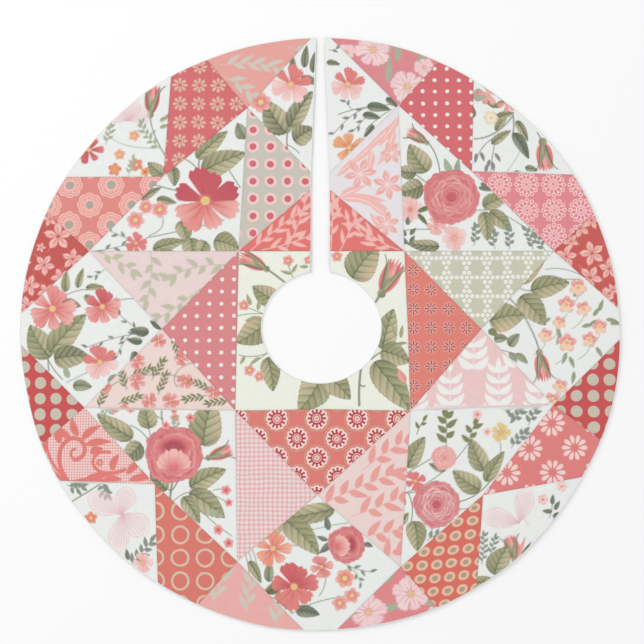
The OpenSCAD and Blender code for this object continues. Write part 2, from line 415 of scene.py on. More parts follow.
        # petals one by one: half width grows along the petal to a waved tip, and three dark strokes leave its
        # foot; back holds the sine of a direction above which petals take two other tones
        for k in list(range(1, petals, 2)) + list(range(0, petals, 2)):
            angle = turn + 360 / petals * k + 7 * math.sin(k * 2.1)
            far = r * (0.93 + 0.07 * math.sin(k * 3.7 + 1))
            first, last = inner, outer
            if back and math.sin(math.radians(angle)) > back[0]:
                first, last = back[1], back[2]
            at, u, v = self.frame(cx, cy, r * 1.15, angle)
            u, v = u / far, v / far
            v = v - 0.05 * math.sin(k * 5) * np.sin(u * 3)
            half = wide * 1.08 * np.clip(u, 0, 1) ** 0.8 * np.clip((1.03 - u) / 0.26, 0, 1) ** 0.45
            across = v / wide
            notch = 0.045 * (1 - np.cos(across * math.tau * 1.5)) - 0.02
            depth = np.where(u > 0, np.minimum(half - np.abs(v), 1 - notch - u) * far, -9)
            stroke = np.clip(np.cos(across * math.pi * 3) * 2 - 0.7, 0, 1) * np.clip(1.25 - 1.35 * u, 0, 1)
            share = np.clip(u * 1.25 - 0.25, 0, 1) * (0.65 + 0.35 * math.cos(k * 1.9))
            tint = mix(ink[first], ink[last], share)
            tint = mix(tint, ink["wine"] * 0.9, stroke * (0.55 if last != "pale" else 0.25))
            self.lay(at, depth, tint)
            self.lay(at, 0.55 - np.abs(depth - 0.3), ink["wine"], 0.30)
        at, u, v = self.frame(cx, cy, r * 0.4, 0)
        gap = np.hypot(u, v)
        self.lay(at, r * 0.21 - gap, ink["coral"], 0.35)
        speck = 0.5 + 0.5 * np.cos(np.arctan2(v, u) * 9) * np.cos(gap * 2)
        self.lay(at, r * 0.13 - gap, mix(ink[heart], ink["orange"], speck * 0.5))

    def rose(self, cx, cy, r, turn=0, pale="blush", mid="rose", deep="wine", folds=6):
        # rings of ruffled petals from the outside in: deep at the foot, pale at the lip, with a thin dark edge
        for ring in range(folds):
            share = 1 - ring / folds
            count = max(3, int(3 + 5 * share))
            for k in range(count):
                a = math.radians(turn + 360 / count * k + ring * 37 + 9 * math.sin(k * 3 + ring))
                px, py = cx + 0.5 * r * share * math.cos(a), cy + 0.5 * r * share * math.sin(a)
                size = r * (0.14 + 0.36 * share) * (0.95 + 0.08 * math.sin(k * 2.7 + ring * 1.3))
                at, u, v = self.frame(px, py, size * 1.15, math.degrees(a))
                around = np.arctan2(v, u)
                ruffle = 1 + 0.05 * np.sin(around * 5 + k) + 0.03 * np.sin(around * 11 + ring)
                gap = np.hypot(u, v * 0.84) * ruffle
                lip = np.clip(gap / size, 0, 1)
                light = np.clip(lip ** 3 * (0.4 + 0.6 * np.clip(u / size + 0.1, 0, 1)), 0, 1)
                light = np.clip(light * (0.35 + 1.0 * math.sin(math.pi * min(share * 1.05, 1)) ** 2), 0, 1)
                crease = np.clip(np.sin(gap / size * 13 + np.sin(around * 3) * 1.2 + k), 0, 1)
                base = mix(ink[deep], ink[mid], 0.35 + 0.5 * lip)
                self.lay(at, size - gap, mix(mix(base, ink[pale], light), ink[deep], crease * 0.4))
                self.lay(at, 0.5 - np.abs(size - gap - 0.3), ink[deep], 0.6)
        at, u, v = self.frame(cx, cy, r * 0.3, turn)
        gap = np.hypot(u, v)
        swirl = 0.5 + 0.5 * np.cos(gap * 1.1 - np.arctan2(v, u))
        self.lay(at, r * 0.17 - gap, mix(ink[deep], ink[mid], swirl * 0.5))

    def peony(self, cx, cy, r, turn):
        # a bowl: a ruffled skirt of petals, a dark hollow, and pale cupped petals standing in front of it
        c, s = facing(turn)
        self.rose(cx, cy, r, turn, folds=4)
        at, u, v = self.frame(cx - 0.24 * r * s, cy + 0.24 * r * c, r, turn)
        hollow = 1 - np.hypot(u / 0.56, v / 0.36) / r
        self.lay(at, hollow * r * 0.5, mix(ink["wine"] * 0.85, ink["rose"], np.clip(1.1 - hollow * 2.2, 0, 1)))
        for lean in (66, -66, 44, -44, 22, -22, 0):
            reach = r * (0.72 - 0.0012 * abs(lean) + 0.03 * math.sin(lean))
            foot = (cx + 0.50 * r * s, cy - 0.50 * r * c)
            at, u, v = self.frame(*foot, reach * 1.1, turn + 90 + lean)
            u, v = u / reach, v / reach
            tip = 0.5 + 0.5 * np.cos(v * 26 + lean)
            half = 0.27 * np.clip(u * 1.6, 0, 1) ** 0.5 * np.clip((1.0 - 0.05 * tip - u) / 0.22, 0, 1) ** 0.5
            depth = np.where(u > 0, (half - np.abs(v)) * reach, -9)
            line = np.clip(np.cos(v * 70) * np.clip(1.1 - u, 0, 1), 0, 1)
            tint = mix(ink["rose"], ink["blush"], np.clip(u * 1.7 - 0.2, 0, 1))
            self.lay(at, depth, mix(tint, ink["wine"], line * 0.22))
            self.lay(at, 0.5 - np.abs(depth - 0.3), ink["wine"], 0.35)

    def bud(self, cx, cy, length, turn, width, mid="coral"):
        # petals wrapped to a point, in narrow green sepals that curl out, on a round hip
        for side, tone, share in ((-11, mid, 0.5), (11, mid, 0.5), (-5, "deepCoral", 0.34), (6, mid, 0.34),
                                  (0, "blush", 0.34)):
            reach = length * (1 - abs(side) * 0.006)
            self.blade(cx, cy, reach, width * share, turn + side, tone, "rose", side * 0.02)
        for side, reach in ((-15, 0.92), (15, 0.92), (-2, 0.5)):
            self.blade(cx, cy, length * reach, width * 0.24, turn + side, "leafLight", "leafVein", -side * 0.03)
        c, s = facing(turn)
        for side in (-1, 1):
            spots = [(cx + length * (along * c - side * off * s), cy + length * (along * s + side * off * c))
                     for along, off in ((0.1, 0.06), (0.45, 0.2), (0.72, 0.13), (0.92, 0.36))]
            self.stem(spots, 1.7, "leafVein")
        at, u, v = self.frame(cx, cy, width, turn)
        tint = mix(ink["leafVein"], ink["leafLight"], np.clip(v / width + 0.5, 0, 1))
        self.lay(at, width * 0.22 - np.hypot(u, v), tint)

    def blossom(self, cx, cy, r, turn=0, petal="coral", tip="blush", heart="yellow", petals=5, below=None):
        # a small flower of round petals; below is the tone of the petals that point down
        for k in range(petals):
            a = math.radians(turn + 360 / petals * k)
            tone = below if below and math.sin(a) < 0.1 else petal
            at, u, v = self.frame(cx + 0.55 * r * math.cos(a), cy + 0.55 * r * math.sin(a), r, math.degrees(a))
            gap = np.hypot(u * 0.95, v * 1.12)
            self.lay(at, r * 0.43 - gap, mix(ink[tone], ink[tip], np.clip(u / r * 1.4 + 0.4, 0, 1)))
            self.lay(at, 0.4 - np.abs(r * 0.43 - gap - 0.2), ink["deepCoral"], 0.25)
        at, u, v = self.frame(cx, cy, r * 0.6, 0)
        self.lay(at, r * 0.26 - np.hypot(u, v), ink[heart])

    def star(self, cx, cy, r, turn=0, count=5, light="shell", dark="shellDark", line="deepCoral"):
        # pointed petals: half width = sine of the length's power 1.3; each has a dark line from the heart
        for k in range(count):
            at, u, v = self.frame(cx, cy, r * 1.05, turn + 360 / count * k)
            u, v = u / r, v / r
            half = 1.3 / count * np.sin(np.pi * np.clip(u, 0, 1) ** 1.3) ** 0.9
            depth = np.where(u > 0, (half - np.abs(v)) * r, -9)
            self.lay(at, depth, mix(ink[light], ink[dark], 0.25 + 0.4 * (v > 0)))
            self.lay(at, 0.4 - np.abs(depth - 0.4), ink[light], 0.5)
            vein = (0.035 - np.abs(v)) * r
            self.lay(at, np.where((u > 0) & (u < 0.62), vein, -9), ink[line], 0.8)
        at, u, v = self.frame(cx, cy, r * 0.4, 0)
        self.lay(at, r * 0.12 - np.hypot(u, v), ink[line])

    def twig(self, points, seeds, size=11, tint="twig"):
        # a thin stem with seed heads along it
        curve = self.stem(points, 1.2, tint)
        for k in range(seeds):
            spot = curve[int((k + 1) * (len(curve) - 1) / seeds)]
            turn = heading(curve[0], curve[-1]) + (38 if k % 2 else -38)
            self.blade(*spot, size, size * 0.42, turn, tint, tint)

    def wing(self, cx, cy, length, width, turn):
        # a butterfly's wing: a pale oval with a thin edge, and veins that fan out from its foot
        at, u, v = self.frame(cx, cy, length * 1.2, turn)
        along = u / length
        half = np.sin(np.pi * np.clip(along, 0, 1) ** 1.35) ** 0.7
        depth = np.where((along > 0) & (along < 1), (half - np.abs(v) / (width / 2)) * width / 2, -9)
        self.lay(at, depth, ink["pale"], 0.4)
        c, s = facing(turn)
        for side in (-0.8, -0.5, -0.22, 0.05, 0.32, 0.6, 0.86):
            spots = []
            for along, off in ((0, 0), (0.35, 0.7), (0.86 - 0.22 * side * side, 0.9)):
                far, wide = length * along, width / 2 * side * off
                spots.append((cx + far * c - wide * s, cy + far * s + wide * c))
            self.stem(spots, 1.0, "mauve", 0.65)
        self.lay(at, 0.6 - np.abs(depth - 0.6), ink["mauve"], 0.8)


def centreLeaves(p):
    each(p.bud, ((-100, 113, 62, 152, 28), (112, 66, 76, 62, 38)))
    p.leaf(58, 96, 78, 62, 50, tan=0.9)
    p.leaf(112, -42, 82, 46, 74, tan=0.4)
    p.leaf(110, -44, 58, 46, -18, tan=0.6)
    each(p.leaf, ((98, -66, 108, 56, -52), (6, -92, 78, 58, -126), (8, -94, 62, 44, -40),
        (-98, -58, 62, 36, -80)))
    p.leaf(-98, 10, 68, 54, -148, tan=0.8)
    p.leaf(-80, 52, 54, 40, 148, tan=0.7)
    for x, y, turn in ((140, -16, 110), (148, -18, 80), (136, -34, 20)):
        p.blade(x, y, 26, 8, turn)
    p.blade(158, -100, 28, 14, 120, "coral", "blush")
    p.stems(((4, -100, 113, -84, 103, -64, 86), (5, 112, 66, 106, 60, 100, 50),
        (3, 112, -46, 102, -52, 92, -62), (4.5, 74, -78, 70, -110, 72, -144),
        (3, 72, -108, 78, -112, 82, -110), (3, 84, -66, 76, -72, 74, -80),
        (1.6, -150, -50, -125, -58, -96, -50), (1.5, -155, 24, -130, 30, -104, 26),
        (1.4, 124, -34, 140, -26, 160, -28)))
    each(p.blossom, ((-60, 129, 11), (31, 137, 11, 20), (-131, -79, 11), (-113, -91, 10, 30),
        (-142, 44, 11, 12)))
    p.stems(((1.6, -60, 120, -54, 108, -50, 94), (1.6, -131, -70, -112, -60, -98, -50),
        (1.4, -136, 40, -118, 32, -104, 26)))
    each(p.blade, ((-52, 106, 20, 7, 60), (-52, 104, 24, 7, 165), (-22, 118, 18, 7, 180),
        (-112, -56, 22, 7, -150), (-140, -52, 18, 7, -120), (-100, -50, 20, 7, 25)))
    p.blossom(-22, 130, 9, 15)
    for x, y, turn in ((-128, 44, 112), (-116, 34, 78), (-118, 22, 200)):
        p.blade(x, y, 24, 8, turn)


def wheatSprays(p, paths):
    for path in paths:
        p.vine(path, 27, 30, 7.5, "blush", 32, 2.2)


def ringsOfWheatLeft(p):
    wheatSprays(p, [(-130, 148, -88, 186, -34, 224), (-66, 148, -40, 190, -28, 242),
        (-108, 150, -66, 156, -22, 176)])


def ringsOfWheatRight(p):
    wheatSprays(p, [(36, 146, 56, 186, 70, 222), (114, 148, 78, 180, 28, 228),
        (146, 150, 118, 158, 88, 184), (20, 150, 22, 190, 24, 240)])


def sageVine(p):
    for path in ((-430, 150, -392, 140, -352, 112), (-318, 152, -308, 112, -322, 56),
            (-168, 120, -220, 126, -272, 102), (-222, 76, -262, 44, -300, 20)):
        p.stem(path, 1.6, "mist")
        p.vine(path, 29, 27, 10.5, "haze", 44, 1.6)


def oliveSprigs(p):
    for x, y, turn in ((-300, -75, 60), (-365, -92, 110), (-232, -128, 190), (-222, -104, 160),
            (-402, -128, 70), (-292, -102, 70), (-330, -80, 20), (-352, -132, 20), (-190, -136, 190),
            (-268, -30, -70)):
        c, s = facing(turn)
        p.vine((x - 22 * c, y - 22 * s, x, y, x + 14 * c, y + 14 * s), 9, 15, 4.6, "leafDark", 38)
    p.stems(((1.3, -400, -120, -360, -70, -240, -92), (1.3, -250, -98, -270, -130, -290, -70, -230, -62)))
    for x, y, r in ((-300, -22, 15), (-338, -62, 16), (-258, -55, 15), (-338, -98, 17), (-250, -98, 16),
            (-398, -110, 13), (-316, -134, 16), (-276, -134, 17), (-198, -118, 15), (-362, -146, 9)):
        p.cosmos(x, y, r, x * 7, "coral", "blush", 6, wide=0.36)


def lilies(p):
    for x, y, length, width, turn in ((146, 396, 96, 15, 222), (148, 404, 70, 13, 236),
            (140, 378, 62, 14, 248), (98, 350, 60, 13, 222), (96, 338, 44, 14, 262),
            (62, 322, 46, 12, 226), (36, 250, 54, 15, 24), (40, 248, 84, 17, -4), (66, 248, 68, 15, -20),
            (92, 238, 52, 14, -38), (134, 352, 50, 13, 236), (118, 190, 40, 11, 130)):
        p.blade(x, y, length, width, turn, "blush", "blush", bow=0.3)
        p.blade(x, y, length * 0.85, width * 0.16, turn, "pale", "pale", bow=0.6)
    for x, y, r, turn in ((75, 294, 31, 10), (126, 273, 29, 40), (124, 198, 25, 20), (134, 334, 22, 0)):
        p.star(x, y, r, turn, 6, "blush", "rosy", "pale")


def laurel(p):
    # pairs of white leaves that curve up on both sides of a stem and grow smaller towards its tip
    for x, low, high in ((172, -152, -112), (240, -158, -76), (284, -70, -10), (330, -158, -74),
            (404, -154, -100), (366, -66, -52)):
        p.stem((x, low, x, high), 1.6, "white")
        for y in np.arange(low, high, 20.5):
            size = 1 - 0.28 * (y - low) / 84
            for sign in (1, -1):
                p.blade(x, y - 4, 37 * size, 15 * size, 90 - 50 * sign, "white", "white", -0.6 * sign)
        p.blade(x, high - 4, 26, 10, 90, "white", "white", bow=0)


def coralLeaves(p):
    for path in ((-4, -330, 60, -296, 128, -272), (78, -262, 116, -232, 156, -208),
            (58, -348, 100, -334, 144, -314), (70, -386, 104, -382, 142, -372),
            (108, -436, 124, -420, 140, -408)):
        p.vine(path, 30, 38, 13, "rosy", 40, 0.8)


def salmonVine(p, paths):
    for path in paths:
        p.vine(path, 25, 34, 9.5, "mist", 32, 1.4)


def salmonVineBack(p):
    salmonVine(p, [(-190, 504, -112, 520, -52, 484), (-184, 482, -150, 470, -116, 434),
        (-60, 540, -30, 532, -12, 520)])


def salmonVineFront(p):
    salmonVine(p, [(-136, -534, -132, -500, -126, -446), (-198, -516, -190, -494, -182, -466),
        (-82, -556, -78, -534, -74, -500)])


def pinkCosmosBack(p):
    for x, y, turn in ((128, 470, 86), (146, 510, 88), (60, 540, -20), (110, 500, 60), (178, 500, 50)):
        p.blade(x, y, 52, 13, turn, "sage", "sage")
    for x, y, r in ((100, 534, 36), (164, 462, 34), (196, 500, 20), (50, 530, 18)):
        p.cosmos(x, y, r, x, "pale", "lilac", 8, wide=0.38)


def pinkCosmosFront(p):
    for x, y, turn in ((120, -470, 60), (36, -540, 30), (110, -520, 10), (190, -510, 20)):
        p.blade(x, y, 50, 13, turn, "sage", "sage")
    for x, y, r in ((88, -525, 36), (166, -490, 36), (216, -530, 22)):
        p.cosmos(x, y, r, x, "pale", "lilac", 9, wide=0.36)


def cosmosCorner(p):
    p.stems(((2, -325, 172, -270, 182, -180, 206), (1.6, -320, 176, -280, 190, -300, 222),
        (2.6, -244, 258, -275, 262, -312, 274), (3, -226, 296, -232, 322, -218, 344),
        (2.4, -226, 296, -236, 316, -262, 326), (2.2, -150, 268, -160, 284, -170, 300)))
    each(p.leaf, ((-232, 324, 78, 32, 42), (-222, 298, 90, 46, 24), (-262, 204, 44, 30, -70),
        (-242, 172, 42, 38, -88), (-198, 168, 50, 42, -20), (-214, 166, 30, 30, -120),
        (-312, 150, 62, 26, 16), (-300, 146, 36, 16, -10)))
    each(p.leaf, ((-278, 308, 38, 24, -82), (-336, 246, 44, 16, 30), (-306, 246, 38, 16, -12)),
        dark="leafVein")
    each(p.blossom, ((-326, 231, 14, 10), (-300, 226, 16, 30), (-345, 206, 17, 50)), petals=6)
    each(p.twig, (((-430, 146, -390, 150, -352, 162), 5), ((-352, 168, -372, 176, -390, 184), 3)),
        14, "grey")
    p.leaf(-140, 362, 34, 26, 118, "sage")
    p.cosmos(-344, 162, 22, 10, outer="coral", wide=0.3)
    p.cosmos(-215, 243, 66, 22, back=(0.35, "deepCoral", "wine"), wide=0.34)


def budSquare(p):
    p.stems(((2.6, -320, 405, -318, 370, -286, 322), (1.6, -317, 372, -312, 374, -310, 378)))
    each(p.blossom, ((-350, 368, 11, 0), (-377, 332, 11, 20)), "orange")
    p.leaf(-294, 292, 38, 28, 140)
    p.bud(-320, 408, 62, 84, 30, mid="deepCoral")
    for x, y, turn in ((-302, 382, 20), (-302, 396, 24), (-292, 404, 10), (-286, 386, 0)):
        p.blade(x, y, 20, 8, turn)
    for turn in (20, 75, 150):
        p.wing(-362, 398, 44, 34, turn)
    p.cosmos(-436, 342, 30, 0, "deepCoral", "coral", 7)
    p.blossom(-386, 303, 13, 10, "orange", "coral", "orange")
    p.blossom(-345, 312, 13, 40, tip="orange")
    p.blossom(-328, 298, 9, 0, "orange", "orange", "deepCoral")
    p.stem((-404, 376, -380, 340, -300, 344), 1.3, "sage")
    each(p.vine, (((-300, 344, -325, 360, -336, 388), 12, 15, 6),
        ((-404, 352, -398, 366, -396, 384), 11, 15, 6), ((-360, 292, -356, 302, -352, 322), 9, 12, 5)),
        "sage")


def roseCorner(p):
    p.stems(((2.6, 198, 358, 220, 338, 224, 296), (1.8, 156, 186, 176, 190, 206, 188),
        (1.5, 318, 230, 350, 214, 398, 182), (2.2, 282, 226, 300, 222, 320, 228),
        (2.2, 170, 300, 186, 288, 200, 276)))
    each(p.leaf, ((200, 298, 62, 44, 122), (304, 232, 52, 32, 22), (316, 222, 56, 30, -42),
        (306, 222, 56, 30, -84)))
    each(p.leaf, ((180, 296, 40, 28, 170), (192, 272, 48, 40, 196), (222, 156, 62, 24, 174)),
        dark="leafVein")
    p.bud(200, 354, 46, 148, 22)
    p.cosmos(168, 226, 26, 10, "blush", "pale", 7, wide=0.4, heart="coral")
    each(p.blade, ((182, 222, 34, 10, 20), (182, 218, 30, 9, -50)), "leafDark", "leafVein")
    p.cosmos(216, 195, 19, 0, "blush", petals=6, wide=0.4, heart="blush")
    p.cosmos(250, 172, 25, 30, "blush", "pale", 7, wide=0.4, heart="blush")
    p.blade(246, 292, 36, 14, 112, "sage", "sage")
    p.blade(256, 292, 32, 12, 84, "sage", "grey")
    p.rose(245, 250, 54, 10)
    each(p.blade, ((300, 276, 24, 10, -30), (296, 268, 26, 9, -14)), "grey", "leafVein")
    for x, y, turn in ((160, 176, 120), (168, 178, 50), (162, 160, 120), (168, 162, 60), (164, 196, 90)):
        p.blade(x, y, 17, 9, turn, "grey", "leafVein")
    for path in ((286, 158, 292, 172, 290, 190), (352, 150, 356, 166, 350, 186),
            (396, 150, 398, 168, 384, 186), (326, 152, 322, 164, 324, 178), (420, 148, 410, 162, 404, 176)):
        p.vine(path, 11, 14, 7, "grey")


def branchSquare(p):
    p.stems(((3, 290, 362, 330, 362, 364, 408), (3, 364, 408, 366, 386, 362, 370),
        (2, 330, 366, 300, 350, 292, 318), (2, 330, 362, 322, 330, 320, 300)), "twig")
    each(p.leaf, ((322, 352, 46, 17, 36), (330, 378, 42, 15, 54)))
    each(p.leaf, ((330, 402, 38, 16, 18), (370, 398, 46, 16, -64)), dark="leafVein")
    each(p.leaf, ((384, 306, 24, 13, -12), (364, 300, 20, 12, -50)), "sage")
    for x, y, turn in ((293, 334, -100), (301, 336, -70), (318, 322, -110), (322, 318, -80),
            (328, 334, -60), (312, 312, -100)):
        p.blade(x, y, 20, 7, turn, "twig", "twig")
    p.leaf(364, 374, 58, 22, -62, "grey", "leafVein")
    p.blossom(322, 403, 14, 0, "white", "yellow", petals=6)
    each(p.blade, ((330, 424, 30, 12, 30), (336, 424, 30, 12, 150), (286, 402, 26, 18, 90)), "leafDark")
    p.blade(288, 446, 26, 26, 0, "sage", "sage")
    each(p.cosmos, ((318, 452, 26, 0), (352, 434, 22, 20)), "blush", "coral", 6)
    p.stem((416, 354, 414, 366, 408, 374), 2.6)
    p.bud(418, 356, 60, -84, 36)
    p.stem((376, 340, 362, 312, 344, 292), 1.2, "sage")


def leftDiamond(p):
    p.blade(-394, -98, 34, 20, 10, "sage", "grey")
    p.twig((-402, 112, -410, 104, -424, 98), 3, 12, "grey")
    each(p.leaf, ((-452, 78, 38, 14, 74), (-438, 64, 30, 15, -48)))
    p.stems(((3, -504, -78, -508, -50, -500, -24), (2.4, -508, -52, -496, -78, -478, -94)), "grey")
    each(p.leaf, ((-502, -54, 72, 50, 122), (-502, -44, 98, 48, 47)))
    p.leaf(-494, -56, 66, 44, 4, dark="leafVein")
    p.blade(-466, -92, 26, 12, 110, "sage", "sage")
    each(p.leaf, ((-342, -42, 26, 15, -110), (-292, 2, 28, 14, 150)), "grey", "leafVein")
    p.stem((-480, 60, -452, 76, -430, 74), 1.8)
    each(p.leaf, ((-474, 70, 40, 17, 88), (-436, 78, 34, 13, 2)))
    each(p.leaf, ((-480, 50, 36, 20, -12), (-458, -106, 36, 22, -4)), "sage")
    p.stem((-470, -100, -440, -86, -410, -70), 1.4, "grey")
    p.cosmos(-498, 38, 46, 8, wide=0.32)
    p.cosmos(-405, 42, 36, 14, back=(0.3, "deepCoral", "coral"), wide=0.34)
    p.cosmos(-408, -62, 34, 30, "blush", "pale", back=(0.1, "coral", "coral"), wide=0.34)
    p.twig((-330, -8, -370, -10, -432, -34), 5, 13)
    each(p.twig, (((-330, -8, -352, 8, -372, 26), 3), ((-352, -10, -372, -30, -376, -52), 3)), 12)
    each(p.leaf, ((-318, -6, 36, 19, 172), (-330, -24, 30, 14, 170)), "grey", "leafVein")
    p.stem((-380, 54, -360, 57, -346, 57), 1.8)


def rightDiamond(p):
    p.stems(((3.2, 350, 60, 384, 26, 400, -18, 406, -40), (2.4, 368, 80, 374, 72, 396, 72)), "grey")
    each(p.blade, ((350, -44, 24, 12, -52), (362, -46, 30, 14, -40)), "sage")
    p.bud(406, -44, 58, -80, 30)
    p.stems(((1.6, 338, -40, 352, -44, 366, -48), (1.4, 420, 112, 450, 120, 490, 100)))
    p.leaf(374, 86, 72, 26, 48, tan=0.9)
    p.leaf(392, 72, 74, 42, 12, tan=0.6)
    p.leaf(372, 62, 72, 46, -50, tan=0.5)
    p.leaf(314, 16, 66, 56, 8, tan=0.9)
    p.blade(312, -2, 20, 14, -30, "leafDark")
    each(p.leaf, ((322, -18, 26, 18, 0), (350, -32, 30, 20, 50)), "sage")
    p.stem((424, 96, 456, 92, 484, 94), 1.4)
    for x, y, turn in ((470, 62, 20), (508, 24, 50), (520, 34, 70), (532, 18, -10), (500, 6, 30),
            (446, -8, -110), (440, 4, -80), (456, -44, -110), (462, -52, -70), (512, -34, -60),
            (470, -80, -100), (486, 4, 10), (540, 10, 0), (428, 20, 200)):
        p.blade(x, y, 24, 8, turn, "sage", "leafDark")
    for x, y, r in ((480, 78, 17), (458, 46, 17), (490, 38, 15), (444, 12, 13), (418, -12, 14),
            (458, -26, 18), (500, -20, 15), (520, 4, 15), (444, -108, 15), (428, -134, 16)):
        p.stem([(x, y - r), (x - 6, y - r - 14), (x - 22, y - r - 22)], 1.2, "sage")
        p.blossom(x, y, r, 60 + x * 7 % 60, "coral", "blush", "yellow", below="cream")
        p.blossom(x, y, r * 0.45, x, "peach", "cream", "orange")


def backDiamondLeft(p):
    each(p.leaf, ((-30, 500, 44, 15, 84), (-14, 490, 44, 15, 82), (-50, 496, 28, 12, 96),
        (-36, 480, 36, 18, -22)), "grey")
    p.stems(((3, -62, 344, -64, 366, -60, 384), (2.4, -62, 372, -48, 382, -52, 400)))
    each(p.leaf, ((-64, 372, 76, 50, 122), (-58, 384, 82, 36, 58), (-50, 358, 46, 40, 30)), dark="leafVein")
    p.stem((-62, 350, -48, 344, -40, 334), 2, "twig")
    p.blossom(-112, 432, 20, 20, petals=6)
    p.cosmos(-55, 467, 40, 12, "blush", "pale", 9, (0.1, "coral", "coral"), 0.28)


def backDiamondRight(p):
    p.stems(((2, 34, 408, 70, 424, 146, 428), (1.6, 86, 380, 110, 404, 134, 418)))
    p.twig((90, 422, 60, 414, 26, 372), 5, 14)
    p.twig((86, 404, 76, 392, 64, 378), 3, 13)
    each(p.leaf, ((88, 424, 44, 19, -8), (80, 408, 34, 15, -12), (100, 388, 30, 13, 232),
        (124, 440, 28, 13, -40)), "grey", "leafVein")
    p.twig((60, 418, 48, 430, 44, 440), 3, 12)
    p.twig((16, 534, 26, 532, 38, 540), 3, 12, "grey")
    p.leaf(12, 510, 26, 12, -10, "grey")
    p.cosmos(52, 467, 34, 16, "blush", "pale", 9, (0.2, "coral", "coral"), 0.28)
    p.cosmos(54, 345, 32, 18, "orange", "peach", 5, wide=0.42)


def frontDiamond(p):
    for x in (-134, -126, -118):
        p.stem([(x - 12, -396), (x, -420), (x + 4, -452)], 1.5)
    p.twig((40, -432, 60, -446, 92, -450), 4, 14, "grey")
    p.twig((60, -446, 70, -458, 74, -470), 3, 12, "grey")
    p.stems(((1.8, -52, -526, -10, -500, 60, -494), (1.4, 10, -448, 12, -478, -2, -494),
        (1.2, -20, -374, 20, -364, 52, -360), (1.6, -58, -402, -40, -400, -20, -404)))
    each(p.leaf, ((26, -334, 104, 36, 190), (-66, -352, 92, 46, -46), (-130, -430, 46, 18, -62)))
    each(p.blade, ((16, -374, 28, 12, 100), (20, -396, 30, 13, 222), (14, -392, 22, 9, 160),
        (80, -398, 18, 10, -20)), "grey", "leafVein")
    p.leaf(-70, -354, 56, 30, -140, dark="leafTan")
    p.leaf(-94, -468, 38, 18, 86, "sage")
    p.leaf(-70, -470, 40, 22, -150, "leafDark", "leafVein")
    p.leaf(-44, -520, 44, 24, -12, "grey", "leafVein")
    p.peony(48, -400, 35, -78)
    p.cosmos(-87, -407, 36, 0, "salmon", "peach", 7, wide=0.34)
    p.cosmos(2, -441, 23, 12, petals=6, wide=0.4)
    p.blossom(45, -462, 18, 10, tip="peach", petals=6)
    each(p.blossom, ((58, -494, 15, 10), (36, -508, 15, 30)))
    p.cosmos(-48, -477, 46, 12, outer="coral", petals=7, back=(-0.3, "deepCoral", "coral"), wide=0.4)
    p.stem((-52, -526, -72, -500, -90, -496), 1.4)


def peonyCorner(p):
    p.bud(-206, -240, 50, 20, 26)
    p.stems(((4, -272, -286, -276, -304, -276, -326), (3, -276, -304, -262, -288, -256, -270),
        (2.6, -276, -300, -286, -296, -294, -284), (2, -276, -326, -250, -300, -234, -304),
        (3, -284, -192, -296, -170, -292, -146), (2, -290, -168, -300, -166, -304, -160),
        (2, -318, -206, -330, -188, -350, -180), (2, -312, -210, -314, -196, -316, -186),
        (2.6, -230, -244, -218, -242, -206, -240)))
    each(p.leaf, ((-346, -204, 80, 36, 146), (-314, -186, 50, 36, 100), (-216, -218, 88, 62, 78),
        (-240, -294, 74, 38, 26), (-240, -304, 80, 44, -36), (-252, -312, 58, 28, -58)))
    each(p.leaf, ((-330, -214, 48, 38, 222), (-282, -300, 48, 28, 130)), dark="leafVein")
    p.peony(-270, -234, 55, 0)
    p.stems(((1.5, -238, -318, -200, -360, -162, -384), (1.3, -240, -300, -196, -304, -170, -324),
        (1.3, -196, -300, -184, -296, -176, -300)))
    for x, y, r in ((-268, -166, 9), (-240, -166, 9), (-285, -180, 8), (-173, -300, 10), (-168, -323, 8),
            (-187, -373, 10), (-168, -397, 10), (-380, -150, 9), (-350, -150, 8), (-270, -152, 7)):
        p.blossom(x, y, r, x * 5, "coral", "blush", "deepCoral")
    for path in ((-410, -158, -396, -158, -384, -150), (-262, -190, -262, -182, -268, -174),
            (-206, -348, -196, -340, -186, -344)):
        p.vine(path, 9, 12, 5, "sage")


def twoRoses(p):
    p.stems(((1.8, 158, -304, 230, -280, 278, -206), (1.8, 160, -268, 190, -250, 214, -236),
        (2.4, 250, -322, 290, -316, 318, -276), (2, 156, -306, 186, -302, 210, -296),
        (2.2, 162, -306, 174, -330, 166, -362), (1.4, 254, -336, 272, -332, 286, -336),
        (1.4, 332, -212, 336, -240, 318, -262)))
    each(p.leaf, ((160, -258, 66, 34, 60), (302, -264, 64, 36, 112), (304, -284, 66, 26, 58),
        (294, -300, 62, 38, 144), (172, -356, 56, 38, -84), (150, -330, 26, 18, 90),
        (150, -362, 24, 14, 60)))
    p.leaf(232, -262, 34, 16, 160, dark="leafVein")
    for path, size in (((232, -222, 234, -190, 232, -166), 26), ((276, -222, 274, -200, 284, -180), 22),
            ((178, -196, 182, -184, 190, -172), 15)):
        p.vine(path, 18, size, size * 0.44, "leafDark", 50, 1.8)
    for path in ((366, -160, 356, -168, 350, -158), (352, -176, 362, -166, 368, -156),
            (384, -180, 390, -166, 396, -154), (352, -222, 360, -210, 376, -194),
            (196, -392, 206, -384, 222, -380)):
        p.vine(path, 12, 16, 8, "grey", 50)
    p.rose(228, -240, 23, 20, "pale", "blush", "coral", 4)
    p.cosmos(175, -283, 20, 20, outer="rose", petals=6, wide=0.4)
    p.cosmos(333, -193, 19, 0, "yellow", "yellow", 7, wide=0.36)
    each(p.blossom, ((290, -160, 10, 0), (308, -192, 8, 0)), "blush", "pale", "coral")
    p.rose(214, -326, 44, 30, "pale")


def starsLeft(p):
    for x, y, r, turn in ((-490, 175, 27, 20), (-515, 121, 20, 60), (-462, 132, 20, 10),
            (-484, 97, 18, 40), (-542, 82, 20, 0), (-546, 42, 20, 30), (-522, 154, 9, 0),
            (-510, 70, 17, 50), (-552, 124, 13, 10), (-506, 208, 14, 30)):
        p.star(x, y, r, turn)


